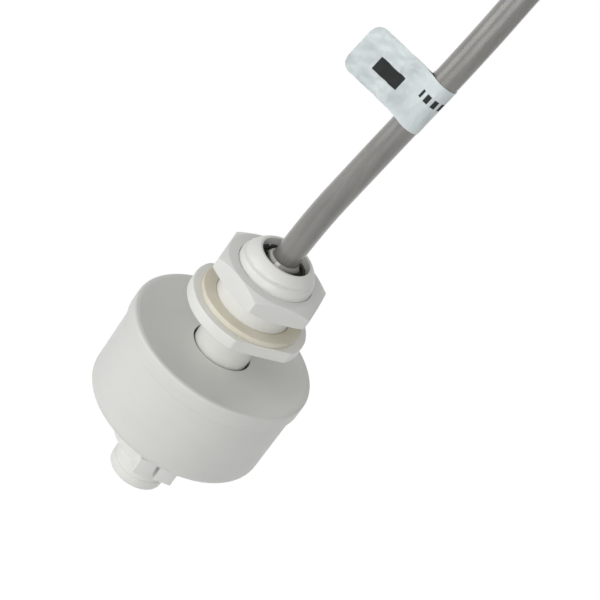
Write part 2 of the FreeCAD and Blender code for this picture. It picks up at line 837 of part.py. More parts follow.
def make_hank(doc, at):
    """One closed solid of the outer shape of the wound part of the cable."""
    loop, frame = hank_loop(at), hank_frame(at)
    grow = at.cable_diameter.value / 2
    fold = at.hank_fold_radius.value + grow
    centre = at.hank_fold_centre.value
    waist = at.hank_waist_half.value + grow
    join_side, join_height = fold * math.cos(loop.lean), centre - fold * math.sin(loop.lean)

    def spot(side, height):
        return frame.middle + frame.across * side + frame.up * height - frame.through * loop.half_depth

    edges = [
        Part.Arc(spot(join_side, join_height), spot(0, centre + fold), spot(-join_side, join_height)),
        Part.Arc(spot(-join_side, join_height), spot(-waist, 0), spot(-join_side, -join_height)),
        Part.Arc(spot(-join_side, -join_height), spot(0, -centre - fold), spot(join_side, -join_height)),
        Part.Arc(spot(join_side, -join_height), spot(waist, 0), spot(join_side, join_height)),
    ]
    outline = Part.Wire([edge.toShape() for edge in edges])
    return add_shape(doc, "cable_hank", Part.Face(outline).extrude(frame.through * (2 * loop.half_depth)))


def make_cable(doc, at, own, hank):
    """The cable from the resin to the hank, trimmed where it joins the hank's first turn."""
    tube, length, radii = sweep_tube(cable_route(at, own), own.cable_r.value)
    print("cable run", round(length, 1), "arc radii", [round(radius, 1) for radius in radii])
    return add_shape(doc, "cable", tube.cut(hank.Shape))


def make_tail(doc, at, own, hank):
    """The cable's end below the hank: a short length of sheath, then the two stripped cores."""
    loop = hank_loop(at)
    side, centre = at.hank_fold_radius.value, at.hank_fold_centre.value
    top = hank_point(at, side, -centre - TRIM, loop.turns)
    end = hank_point(at, side, -centre - at.tail_length.value, loop.turns)
    sheath = Part.makeCylinder(own.cable_r.value, top.z - end.z, end)
    items = [add_shape(doc, "cable_tail", sheath.cut(hank.Shape))]
    frame = hank_frame(at)
    for name, way in (("tail_core_brown", -1), ("tail_core_blue", 1)):
        place = end + frame.across * (way * at.core_offset.value)
        length, strip = at.tail_core_length.value, at.tail_strip_length.value
        core = Part.makeCylinder(at.core_diameter.value / 2, length - strip, place, Vector(0, 0, -1))
        wire_r = at.conductor_diameter.value / 2
        wire = Part.makeCylinder(wire_r, length, place, Vector(0, 0, -1))
        items.append(add_shape(doc, name, core.fuse(wire).removeSplitter()))
    total = loop.length * loop.turns
    print("hank", round(total, 1), "turns", round(loop.turns, 3), "tail", at.tail_length.value)
    return items


def make_tie(doc, at, own):
    """The tie round the hank's waist."""
    body = make_body(doc, "hank_tie")
    loop, frame = hank_loop(at), hank_frame(at)
    half_side = at.hank_waist_half + own.cable_r + at.tie_clearance
    half_depth = Size.of(loop.half_depth)
    sketch = new_sketch(body, "tie_outline", "XY_Plane", -at.tie_width / 2)
    outer_side, outer_depth = half_side + at.tie_thickness, half_depth + at.tie_thickness
    draw_outline(sketch, *rounded_rectangle(outer_side, outer_depth, at.tie_corner_radius))
    draw_outline(sketch, rectangle(-half_side, half_side, -half_depth, half_depth))
    pad(body, "tie_band", sketch, at.tie_width)
    turned = FreeCAD.Rotation(Vector(0, 0, 1), at.hank_facing.value + 90)
    body.Placement = FreeCAD.Placement(frame.middle, turned)
    return body


def make_label(doc, at, own):
    """The film label wrapped round the cable with its two ends stuck together as a flag."""
    body = make_body(doc, "cable_label")
    half = at.label_width / 2
    ring(body, "label_wrap", own.cable_r + at.label_film, own.cable_r, -half, at.label_width)
    flag = new_sketch(body, "label_flag_outline", "XY_Plane", -half)
    inner = own.cable_r + at.label_film / 2
    draw_outline(flag, rectangle(inner, at.label_flag_length, -at.label_film, at.label_film))
    pad(body, "label_flag", flag, at.label_width)
    names = []
    for number, edge in enumerate(body.Tip.Shape.Edges, start=1):
        box = edge.BoundBox
        if box.XMin > at.label_flag_length.value - 1e-4 and box.ZLength < 1e-4:
            names.append(f"Edge{number}")
    base = body.Tip
    corners = body.newObject("PartDesign::Fillet", "label_corners")
    corners.Base = (base, names)
    bind(corners, "Radius", at.label_corner_radius)

    before, start, end, after = cable_route(at, own)[LABEL_RUN - 1 : LABEL_RUN + 3]
    run = end - start
    first = SHARE_OF_RUN * min(run.Length, (start - before).Length)
    last = SHARE_OF_RUN * min(run.Length, (after - end).Length)
    along = Vector(run).normalize()
    middle = start + along * (first + (run.Length - first - last) / 2)
    azimuth = math.radians(at.label_azimuth.value)
    level = Vector(math.cos(azimuth), math.sin(azimuth), 0)
    outward = (level - along * level.dot(along)).normalize()
    body.Placement = FreeCAD.Placement(middle, FreeCAD.Rotation(outward, along.cross(outward), along, "ZXY"))
    return body


def check_document(doc, pieces):
    """Stop if any object failed or any piece has no sound solid."""
    for item in doc.Objects:
        if "Invalid" in item.State or "Error" in item.State:
            raise RuntimeError(f"{item.Name} failed: {item.State}")
    for piece in pieces:
        shape = piece.Shape
        if shape.isNull() or not shape.isValid() or shape.Volume <= 0:
            raise RuntimeError(f"{piece.Label} has no valid shape")
        box = shape.BoundBox
        reach = [round(value, 2) for value in (box.XMin, box.XMax, box.YMin, box.YMax, box.ZMin, box.ZMax)]
        print(piece.Label, "solids", len(shape.Solids), "volume", round(shape.Volume, 1), "box", reach)


def main():
    """Build every piece and write each one to its own STEP file."""
    os.makedirs("parts", exist_ok=True)
    doc = FreeCAD.newDocument("level_sensor")
    at = make_sheet(doc)
    own = levels(at)

    hank = make_hank(doc, at)
    cable = make_cable(doc, at, own, hank)
    glass = make_reed_glass(doc, at, own)
    wired = make_reed_blades(doc, at, own) + make_wiring(doc, at, own)
    pieces = [
        make_stem(doc, at, own),
        make_gasket(doc, at, own),
        make_nut(doc, at, own),
        make_clip(doc, at, own),
        make_float_cup(doc, at, own),
        make_float_lid(doc, at, own),
        make_magnet(doc, at, own),
        make_magnet_washer(doc, at, own),
        glass,
        *wired,
        make_resin(doc, at, own, [cable, glass, *wired]),
        cable,
        hank,
        *make_tail(doc, at, own, hank),
        make_tie(doc, at, own),
        make_label(doc, at, own),
    ]
    doc.recompute()
    check_document(doc, pieces)
    for piece in pieces:
        piece.Shape.exportStep(f"parts/{piece.Label}.step")


main()
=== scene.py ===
"""Dressed model of a vertical float level sensor: stem, nut, float, clip, label and cable."""

import logging
import math
from dataclasses import dataclass
from enum import Enum
from typing import Callable, Optional, Sequence, Union

import bmesh
import bpy
from mathutils import Matrix, Vector, noise

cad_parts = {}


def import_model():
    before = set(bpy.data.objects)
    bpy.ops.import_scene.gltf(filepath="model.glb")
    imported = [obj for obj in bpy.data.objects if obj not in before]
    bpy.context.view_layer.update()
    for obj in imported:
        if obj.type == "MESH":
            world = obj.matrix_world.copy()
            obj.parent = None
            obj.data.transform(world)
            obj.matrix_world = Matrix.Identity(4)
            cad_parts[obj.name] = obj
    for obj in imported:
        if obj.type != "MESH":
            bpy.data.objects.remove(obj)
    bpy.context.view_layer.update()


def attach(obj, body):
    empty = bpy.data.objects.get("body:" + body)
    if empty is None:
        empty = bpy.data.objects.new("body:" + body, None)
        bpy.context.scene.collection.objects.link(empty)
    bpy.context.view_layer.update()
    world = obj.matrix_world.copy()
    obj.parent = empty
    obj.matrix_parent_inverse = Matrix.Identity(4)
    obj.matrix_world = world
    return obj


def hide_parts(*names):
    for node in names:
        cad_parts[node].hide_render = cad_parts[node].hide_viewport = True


LOG = logging.getLogger("level_sensor")
MM = 0.001
TINY = 1e-6

Spot = tuple[float, float]
Profile = list[Spot]
Colour = tuple[float, float, float]
Patch = tuple[float, float, float, float]
Triple = tuple[float, float, float]
Shaper = Callable[[float, float, float], Spot]


class Body(Enum):
    """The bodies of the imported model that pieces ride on."""

    FIXED = "fixed_body"
    FLOAT = "float_body"
    NUT = "nut_body"


class Slot(Enum):
    """The record's material slots."""

    STEM = "stem_plastic"
    NUT = "nut_plastic"
    FLOAT = "float_plastic"
    CLIP = "clip_plastic"
    GASKET = "gasket_rubber"
    RESIN = "resin"
    SHEATH = "cable_sheath"
    LABEL = "label_film"


# Node expressions


class Value:
    """One output of a node, combined with others by plain arithmetic.

    Args:
        paint: The painter that holds the nodes.
        socket: The output socket.
    """

    def __init__(self, paint: "Painter", socket: bpy.types.NodeSocket) -> None:
        """Keep the painter and the socket."""
        self.paint = paint
        self.socket = socket

    def _math(self, operation: str, *items: "Input") -> "Value":
        """Add a Math node over some values."""
        return self.paint.node("ShaderNodeMath", {"operation": operation}, dict(enumerate(items)))

    def __add__(self, other: "Input") -> "Value":
        """Return the sum."""
        return self._math("ADD", self, other)

    def __sub__(self, other: "Input") -> "Value":
        """Return the difference."""
        return self._math("SUBTRACT", self, other)

    def __rsub__(self, other: "Input") -> "Value":
        """Return the difference from a plain number."""
        return self._math("SUBTRACT", other, self)

    def __mul__(self, other: "Input") -> "Value":
        """Return the product."""
        return self._math("MULTIPLY", self, other)

    def __pow__(self, other: "Input") -> "Value":
        """Return the power."""
        return self._math("POWER", self, other)

    def __abs__(self) -> "Value":
        """Return the size without its sign."""
        return self._math("ABSOLUTE", self)

    __radd__ = __add__
    __rmul__ = __mul__

    def most(self, other: "Input") -> "Value":
        """Return the larger of two values."""
        return self._math("MAXIMUM", self, other)

    def fold(self, length: float) -> "Value":
        """Return the distance into a pattern that repeats every length."""
        return self._math("FLOORED_MODULO", self, length)

    def rise(self, low: float, high: float) -> "Value":
        """Return 0 at low and 1 at high, with a smooth change between.

        Args:
            low: Where the value is still 0.
            high: Where it has reached 1; this may be below low.

        Returns:
            The changed value.
        """
        flip = high < low
        bounds = {1: min(low, high), 2: max(low, high), 3: float(flip), 4: float(not flip)}
        settings = {"interpolation_type": "SMOOTHSTEP"}
        return self.paint.node("ShaderNodeMapRange", settings, {0: self, **bounds})


Input = Union[Value, float, tuple]
Paint = Union[Value, Colour]


class Painter:
    """Builds the nodes of a material or a world."""

    def __init__(self, owner: Union[bpy.types.Material, bpy.types.World]) -> None:
        """Give the material or world its nodes.

        Args:
            owner: The material or world.
        """
        owner.use_nodes = True
        self.owner = owner
        self.tree = owner.node_tree

    @classmethod
    def material(cls, name: str) -> "Painter":
        """Return a painter for a new material."""
        return cls(bpy.data.materials.new(name))

    def plug(self, socket: bpy.types.NodeSocket, item: Input) -> None:
        """Link a value to a socket, or set a plain number or colour on it.

        Args:
            socket: The input socket.
            item: The value, number, colour or vector.
        """
        if isinstance(item, Value):
            self.tree.links.new(item.socket, socket)
        else:
            socket.default_value = (*item, 1.0) if socket.type == "RGBA" else item

    def node(
        self, kind: str, settings: dict, sockets: dict, output: Union[int, str] = 0
    ) -> Value:
        """Add a node.

        Args:
            kind: The node's type.
            settings: Its own settings, which are set first.
            sockets: The values or links of its inputs, by name or number.
            output: The output that is returned.

        Returns:
            The chosen output.
        """
        made = self.tree.nodes.new(kind)
        for name, setting in settings.items():
            setattr(made, name, setting)
        for name, item in sockets.items():
            self.plug(made.inputs[name], item)
        return Value(self, made.outputs[output])

    def place(self, output: str = "Object") -> Value:
        """Return the coordinates of a point."""
        return self.node("ShaderNodeTexCoord", {}, {}, output)

    def scaled(self, scale: Sequence[float]) -> Value:
        """Return the object's coordinates, scaled differently along each axis."""
        sockets = {"Vector": self.place(), "Scale": tuple(scale)}
        return self.node("ShaderNodeMapping", {}, sockets)

    def cloud(self, scale: float, detail: float = 3.0, place: Optional[Value] = None) -> Value:
        """Return a cloudy pattern from 0 to 1.

        Args:
            scale: Features per unit of the coordinates.
            detail: How many finer layers it has.
            place: Coordinates to use in place of the object's own.

        Returns:
            The pattern.
        """
        sockets = {"Vector": place or self.place(), "Scale": scale, "Detail": detail}
        return self.node("ShaderNodeTexNoise", {}, sockets)

    def dots(self, scale: float) -> Value:
        """Return the distance to the nearest of many scattered points."""
        sockets = {"Vector": self.place(), "Scale": scale}
        return self.node("ShaderNodeTexVoronoi", {}, sockets, "Distance")

    def axis(self, index: int, place: Value) -> Value:
        """Return one coordinate of a point."""
        return self.node("ShaderNodeSeparateXYZ", {}, {0: place}, index)

    def mix(self, share: Input, first: Paint, second: Paint) -> Value:
        """Return a colour between two others."""
        sockets = {0: share, 6: first, 7: second}
        return self.node("ShaderNodeMix", {"data_type": "RGBA"}, sockets, 2)

    def bump(self, height: Value, depth: float, under: Optional[Value] = None) -> Value:
        """Return a surface normal raised by a pattern.

        Args:
            height: The pattern, from 0 to 1.
            depth: How deep it is in metres.
            under: A coarser bump that this one lies on.

        Returns:
            The normal.
        """
        sockets = {"Height": height, "Distance": depth}
        if under is not None:
            sockets["Normal"] = under
        return self.node("ShaderNodeBump", {}, sockets)

    def shade(self, **sockets: Input) -> bpy.types.Material:
        """Set or link the main shader's sockets.

        Args:
            sockets: What each gets, by its name with underscores for spaces.

        Returns:
            The material.
        """
        shader = self.tree.nodes["Principled BSDF"]
        for name, item in sockets.items():
            self.plug(shader.inputs[name.replace("_", " ")], item)
        return self.owner


# Finishes


@dataclass(frozen=True)
class MouldedPlastic:
    """A moulded plastic with faint flow marks, a fine grain and a few handling marks.

    Args:
        name: The material's name.
        colour: The main colour.
        shade: The colour of its cloudier places.
        roughness: How matt it is.
        glow: How much light it lets in and scatters.
        grain: The height of its fine grain in metres.
        ripple: The height of its flow marks in metres.
        marks: How strongly the handling marks show.
    """

    name: str
    colour: Colour
    shade: Colour
    roughness: float = 0.38
    glow: float = 0.1
    grain: float = 0.000012
    ripple: float = 0.00003
    marks: float = 0.25

    def build(self) -> bpy.types.Material:
        """Make the material.

        Returns:
            The material.
        """
        paint = Painter.material(self.name)
        cloud = paint.cloud(60.0, 4.0)
        flow = paint.cloud(1.0, 2.0, paint.scaled((110.0, 110.0, 420.0)))
        grain = paint.cloud(2400.0, 2.0)
        streaks = paint.cloud(1.0, 2.0, paint.scaled((260.0, 900.0, 1600.0)))
        rub = streaks.rise(0.66, 0.78) * paint.cloud(35.0, 1.0).rise(0.5, 0.65) * self.marks
        share = cloud.rise(0.3, 0.75) * 0.55 + flow.rise(0.35, 0.8) * 0.3
        base = paint.mix(share, self.colour, self.shade)
        darker = tuple(0.8 * part for part in self.shade)
        return paint.shade(
            Base_Color=paint.mix(rub, base, darker),
            Roughness=(cloud - 0.5) * 0.1 + rub * 0.3 + self.roughness,
            Normal=paint.bump(grain, self.grain, paint.bump(flow, self.ripple)),
            Subsurface_Weight=self.glow,
            Subsurface_Scale=0.0012,
            Subsurface_Radius=(1.0, 0.92, 0.8),
        )


@dataclass(frozen=True)
class GasketRubber:
    """Pale moulded rubber with a powdery bloom."""

    colour: Colour = (0.76, 0.72, 0.60)
    bloom: Colour = (0.68, 0.635, 0.515)
    speck: Colour = (0.4, 0.36, 0.27)
    grain: float = 0.00002
    ripple: float = 0.00006

    def build(self) -> bpy.types.Material:
        """Make the material.

        Returns:
            The material.
        """
        paint = Painter.material("gasket_rubber")
        cloud = paint.cloud(120.0, 4.0)
        speck = paint.dots(1500.0).rise(0.2, 0.1)
        base = paint.mix(cloud.rise(0.35, 0.7), self.colour, self.bloom)
        under = paint.bump(cloud, self.ripple)
        return paint.shade(
            Base_Color=paint.mix(speck * 0.12, base, self.speck),
            Roughness=cloud * 0.12 + 0.5,
            Normal=paint.bump(paint.cloud(3000.0, 2.0), self.grain, under),
            Subsurface_Weight=0.08,
            Subsurface_Scale=0.001,
        )


@dataclass(frozen=True)
class CableSheath:
    """The extruded grey sheath, with fine lines along it and a few scuffs."""

    pale: Colour = (0.215, 0.21, 0.194)
    dark: Colour = (0.14, 0.136, 0.126)
    scuffed: Colour = (0.46, 0.45, 0.43)
    grain: float = 0.00002
    line_depth: float = 0.00005

    def build(self) -> bpy.types.Material:
        """Make the material.

        Returns:
            The material.
        """
        paint = Painter.material("cable_sheath")
        lines = paint.cloud(1.0, 3.0, paint.scaled((900.0, 900.0, 30.0)))
        cloud = paint.cloud(80.0, 4.0)
        scuff = paint.dots(330.0).rise(0.2, 0.05) * cloud.rise(0.52, 0.68)
        share = lines.rise(0.3, 0.7) * 0.5 + cloud.rise(0.35, 0.7) * 0.45
        base = paint.mix(share, self.pale, self.dark)
        under = paint.bump(lines, self.line_depth)
        return paint.shade(
            Base_Color=paint.mix(scuff * 0.4, base, self.scuffed),
            Roughness=(cloud - 0.5) * 0.16 + 0.34,
            Normal=paint.bump(paint.cloud(2600.0, 2.0), self.grain, under),
            Specular_IOR_Level=0.5,
            Coat_Weight=0.9,
            Coat_Roughness=0.26,
            Subsurface_Weight=0.02,
            Subsurface_Scale=0.001,
        )


@dataclass(frozen=True)
class PottingResin:
    """Glossy resin, pale where it climbs the cable, partly as painted highlight, and dark in the
    moat round that.

    It has a few painted glints as pale flecks, and one painted highlight as a pale streak on the
    side that faces the camera.

    Args:
        inner_r: The radius in metres where the pale part ends.
        outer_r: The radius in metres where the dark part begins.
        wander: How far that edge wanders in metres.
        painted_highlight_way: The level direction from the axis to the painted highlight.
        painted_highlight_r: The radii in metres between which the painted highlight fades in.
        painted_highlight_half: Half the painted highlight's width in metres, without and with its
            soft edge.
        foot_shade_r: The radii in metres between which the painted shade, a dark line round the
            cable's foot, fades.
        ripple: The height of its surface's waves in metres.
    """

    inner_r: float
    outer_r: float
    # The pale colour is the climbing resin's own, and also serves as painted highlight there.
    pale: Colour = (0.66, 0.65, 0.58)
    deep: Colour = (0.012, 0.0105, 0.006)
    painted_glint: Colour = (0.93, 0.93, 0.9)
    wander: float = 0.0012
    painted_highlight_way: Spot = (-0.743, -0.669)
    painted_highlight_r: Spot = (0.0028, 0.003)
    painted_highlight_half: Spot = (0.0003, 0.0006)
    foot_shade_r: Spot = (0.00275, 0.00295)
    ripple: float = 0.00012

    def build(self) -> bpy.types.Material:
        """Make the material.

        Returns:
            The material.
        """
        paint = Painter.material("resin")
        place = paint.place()
        x, y = paint.axis(0, place), paint.axis(1, place)
        radius = (x**2.0 + y**2.0) ** 0.5
        cloud = paint.cloud(330.0, 3.0)
        edge = radius + (cloud - 0.5) * self.wander
        # Paler resin where it climbs the cable, with painted highlight on that climb.
        climb_and_painted_highlight = edge.rise(self.outer_r, self.inner_r)
        # Painted glints: small pale flecks in the base colour.
        painted_glint = paint.dots(800.0).rise(0.2, 0.12) * cloud.rise(0.5, 0.58)
        # Painted highlight: a narrow pale streak from the cable towards the wall.
        along = x * self.painted_highlight_way[0] + y * self.painted_highlight_way[1]
        across = abs(y * self.painted_highlight_way[0] - x * self.painted_highlight_way[1])
        painted_highlight = along.rise(*self.painted_highlight_r) * across.rise(*self.painted_highlight_half[::-1])
        # Painted shade: a dark line round the cable's foot, where the resin meets it.
        painted_foot_shade = radius.rise(*self.foot_shade_r[::-1]) * 0.75
        # Painted light: the climb is painted lighter towards one side, where the key light falls.
        painted_side_light = (y - x).rise(-0.004, 0.003) * 0.4 + 0.5
        share = climb_and_painted_highlight * painted_side_light * (cloud + 0.45) * (1.0 - painted_foot_shade)
        base = paint.mix(share, self.deep, self.pale)
        return paint.shade(
            Base_Color=paint.mix((painted_glint * 0.8).most(painted_highlight), base, self.painted_glint),
            Roughness=cloud * 0.1 + 0.08,
            Specular_IOR_Level=0.3,
            Normal=paint.bump(cloud, self.ripple),
        )


@dataclass(frozen=True)
class Metal:
    """A drawn or soldered metal with fine scratches.

    Args:
        name: The material's name.
        colour: Its colour.
        roughness: How matt it is.
        scratch: The depth of its scratches in metres.
    """

    name: str
    colour: Colour
    roughness: float
    scratch: float = 0.00001

    def build(self) -> bpy.types.Material:
        """Make the material.

        Returns:
            The material.
        """
        paint = Painter.material(self.name)
        scratch = paint.cloud(1.0, 2.0, paint.scaled((2500.0, 2500.0, 250.0)))
        worn = tuple(0.7 * part for part in self.colour)
        return paint.shade(
            Base_Color=paint.mix(scratch, self.colour, worn),
            Metallic=1.0,
            Roughness=(scratch - 0.5) * 0.2 + self.roughness,
            Normal=paint.bump(scratch, self.scratch),
        )


@dataclass(frozen=True)
class ReedGlass:
    """Clear greenish glass with a little haze."""

    clear: Colour = (0.8, 0.93, 0.86)
    haze: Colour = (0.7, 0.88, 0.8)

    def build(self) -> bpy.types.Material:
        """Make the material.

        Returns:
            The material.
        """
        paint = Painter.material("reed_glass")
        cloud = paint.cloud(300.0, 2.0)
        return paint.shade(
            Base_Color=paint.mix(cloud, self.clear, self.haze),
            Roughness=cloud * 0.05,
            Transmission_Weight=1.0,
            IOR=1.5,
        )


@dataclass(frozen=True)
class LabelFilm:
    """Glossy silvery white film with creases and plain dark print.

    The print's places are in millimetres from the flag's free end and from the strip's middle.

    Args:
        along: The length of the whole strip.
        width: The width of the strip.
        bar: The plain bar's place along and across, and half its length and width.
        row: The same of the row of dashes.
        dash_pitch: How far apart the dashes are.
        dash_half: Half the width of one dash.
        soft_edge: Half the width of the print's soft edge.
        fold_depth: The depth of its folds in metres.
        dent_depth: The depth of its dents in metres.
    """

    along: float
    width: float
    film: Colour = (0.72, 0.78, 0.785)
    dull: Colour = (0.52, 0.57, 0.575)
    ink: Colour = (0.012, 0.014, 0.014)
    bar: Patch = (7.6, -0.4, 2.9, 1.5)
    row: Patch = (18.3, 1.6, 3.9, 0.85)
    dash_pitch: float = 1.7
    dash_half: float = 0.5
    soft_edge: float = 0.06
    fold_depth: float = 0.0004
    dent_depth: float = 0.0003

    def build(self) -> bpy.types.Material:
        """Make the material.

        Returns:
            The material.
        """
        paint = Painter.material("label_film")
        cloud = paint.cloud(160.0, 3.0)
        streak = paint.cloud(1.0, 2.0, paint.scaled((500.0, 120.0, 160.0)))
        share = cloud.rise(0.3, 0.7) * 0.5 + streak.rise(0.4, 0.7) * 0.4
        base = paint.mix(share, self.film, self.dull)
        printed = self._print(paint)
        return paint.shade(
            Base_Color=paint.mix(printed, base, self.ink),
            Roughness=cloud * 0.12 + 0.16 + printed * 0.6,
            Specular_IOR_Level=0.5,
            Normal=paint.bump(streak, self.fold_depth, paint.bump(cloud, self.dent_depth)),
        )

    def _print(self, paint: Painter) -> Value:
        """Draw the print: a plain bar on the flag and short dashes round the cable.

        Args:
            paint: The painter of the nodes.

        Returns:
            1 where the film is printed, and 0 elsewhere.
        """
        place = paint.place("UV")
        along = paint.axis(0, place) * self.along
        across = (paint.axis(1, place) - 0.5) * self.width
        dash = self._band(along.fold(self.dash_pitch), self.dash_pitch / 2, self.dash_half)
        dashes = self._patch(along, across, self.row) * dash
        return self._patch(along, across, self.bar).most(dashes)

    def _patch(self, along: Value, across: Value, patch: Patch) -> Value:
        """Return 1 within an oblong and 0 outside it."""
        return self._band(along, patch[0], patch[2]) * self._band(across, patch[1], patch[3])

    def _band(self, value: Value, middle: float, half: float) -> Value:
        """Return 1 where a value is within half of the middle, and 0 elsewhere."""
        return abs(value - middle).rise(half + self.soft_edge, half - self.soft_edge)


# Profiles, turned surfaces and other meshes


def soften(corners: Profile, radii: dict[int, float], parts: int = 6) -> Profile:
    """Round chosen corners of an open profile.

    Args:
        corners: The profile's corners.
        radii: The radius at each corner number that is rounded.
        parts: How many steps each rounding takes.

    Returns:
        The profile with those corners as short arcs.
    """
    result: Profile = []
    for number, corner in enumerate(corners):
        radius = radii.get(number, 0.0)
        if not radius or number in (0, len(corners) - 1):
            result.append(corner)
            continue
        here = Vector(corner)
        back = (Vector(corners[number - 1]) - here).normalized()
        ahead = (Vector(corners[number + 1]) - here).normalized()
        half = back.angle(ahead) / 2
        reach = radius / math.tan(half)
        centre = here + (back + ahead).normalized() * (radius / math.sin(half))
        first, last = here + back * reach - centre, here + ahead * reach - centre
        turn = first.angle_signed(last)
        for step in range(parts + 1):
            spot = first.copy()
            spot.rotate(Matrix.Rotation(-turn * step / parts, 2))
            result.append(tuple(centre + spot))
    return result


def bowed(start: Spot, end: Spot, sag: float, parts: int) -> Profile:
    """Return the points of a shallow arc.

    Args:
        start: Where it starts.
        end: Where it ends.
        sag: How far it bows to the right of the way from start to end.
        parts: How many steps it has.

    Returns:
        Every point of the arc, with both ends.
    """
    first, last = Vector(start), Vector(end)
    way = last - first
    across = Vector((way.y, -way.x)).normalized()
    shares = [step / parts for step in range(parts + 1)]
    return [
        tuple(first + way * share + across * sag * 4 * share * (1 - share)) for share in shares
    ]


def dense(profile: Profile, pitch: float) -> Profile:
    """Add points to a profile.

    Args:
        profile: The profile.
        pitch: How far apart two points may be.

    Returns:
        The profile with the points added along its straight parts.
    """
    result = [profile[0]]
    for start, end in zip(profile, profile[1:]):
        first, last = Vector(start), Vector(end)
        parts = max(1, math.ceil((last - first).length / pitch))
        result += [tuple(first.lerp(last, step / parts)) for step in range(1, parts + 1)]
    return result


def new_object(name: str, build: bmesh.types.BMesh, sharp: float = 35.0) -> bpy.types.Object:
    """Turn a bmesh into an object with smooth faces.

    Args:
        name: The object's name.
        build: The mesh in the making, which is used up.
        sharp: The angle in degrees above which an edge stays sharp.

    Returns:
        The object, linked to the scene.
    """
    mesh = bpy.data.meshes.new(name)
    bmesh.ops.recalc_face_normals(build, faces=build.faces)
    build.to_mesh(mesh)
    build.free()
    mesh.shade_smooth()
    mesh.set_sharp_from_angle(angle=math.radians(sharp))
    thing = bpy.data.objects.new(name, mesh)
    bpy.context.scene.collection.objects.link(thing)
    return thing


def lathe(
    name: str,
    profile: Profile,
    steps: int,
    shaper: Optional[Shaper] = None,
    closed: bool = False,
    sharp: float = 35.0,
) -> bpy.types.Object:
    """Turn a profile round the stem's axis.

    Args:
        name: The object's name.
        profile: Radius and height of each point in millimetres.
        steps: How many divisions the turn has.
        shaper: Changes a point's radius and height, given them and its angle.
        closed: Whether the profile's last point joins its first.
        sharp: The angle in degrees above which an edge stays sharp.

    Returns:
        The turned piece.
    """
    build = bmesh.new()
    rings = []
    for radius, height in profile:
        if radius < TINY:
            rings.append([build.verts.new((0.0, 0.0, height * MM))] * steps)
            continue
        ring = []
        for step in range(steps):
            angle = 2 * math.pi * step / steps
            r, z = shaper(radius, height, angle) if shaper else (radius, height)
            spot = (r * math.cos(angle) * MM, r * math.sin(angle) * MM, z * MM)
            ring.append(build.verts.new(spot))
        rings.append(ring)
    pairs = list(zip(rings, rings[1:]))
    if closed:
        pairs.append((rings[-1], rings[0]))
    for low, high in pairs:
        for step in range(steps):
            after = (step + 1) % steps
            corners = [low[step], low[after], high[after], high[step]]
            kept = [v for place, v in enumerate(corners) if v not in corners[:place]]
            if len(kept) > 2:
                build.faces.new(kept)
    return new_object(name, build, sharp)


def rounded_copy(node: str, name: str, width: float) -> bpy.types.Object:
    """Copy a CAD node's mesh and round its edges.

    Args:
        node: The CAD node.
        name: The new object's name.
        width: How wide the rounding is in millimetres.

    Returns:
        The copy; every edge at which faces meet at more than 30 degrees is rounded.
    """
    flat, sharp = math.radians(0.5), math.radians(30.0)
    build = bmesh.new()
    build.from_mesh(bpy.data.objects[node].data)
    bmesh.ops.remove_doubles(build, verts=build.verts, dist=1e-7)
    bmesh.ops.dissolve_limit(
        build,
        angle_limit=flat,
        verts=build.verts,
        edges=build.edges,
        use_dissolve_boundaries=False,
    )
    edges = [e for e in build.edges if len(e.link_faces) == 2 and e.calc_face_angle(0) > sharp]
    bmesh.ops.bevel(
        build,
        geom=edges,
        offset=width * MM,
        segments=3,
        profile=0.5,
        affect="EDGES",
        clamp_overlap=True,
    )
    bmesh.ops.triangulate(build, faces=[f for f in build.faces if len(f.verts) > 4])
    return new_object(name, build, 40.0)


def dress(
    thing: bpy.types.Object, material: bpy.types.Material, slot: Slot, body: Body, *nodes: str
) -> bpy.types.Object:
    """Give a piece its material, and say what it stands for.

    Args:
        thing: The piece.
        material: Its material.
        slot: The record's slot for that material.
        body: The body that it rides on.
        nodes: The CAD nodes that it stands for.

    Returns:
        The same piece.
    """
    thing.data.materials.clear()
    thing.data.materials.append(material)
    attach(thing, body.value)
    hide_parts(*nodes)
    LOG.info("dressed %s for %s", thing.name, ", ".join(nodes))
    return thing


# The moulded pieces, the gasket and the resin. Sizes are in millimetres, as in the CAD source,
# and heights are from the flange's sealing face.


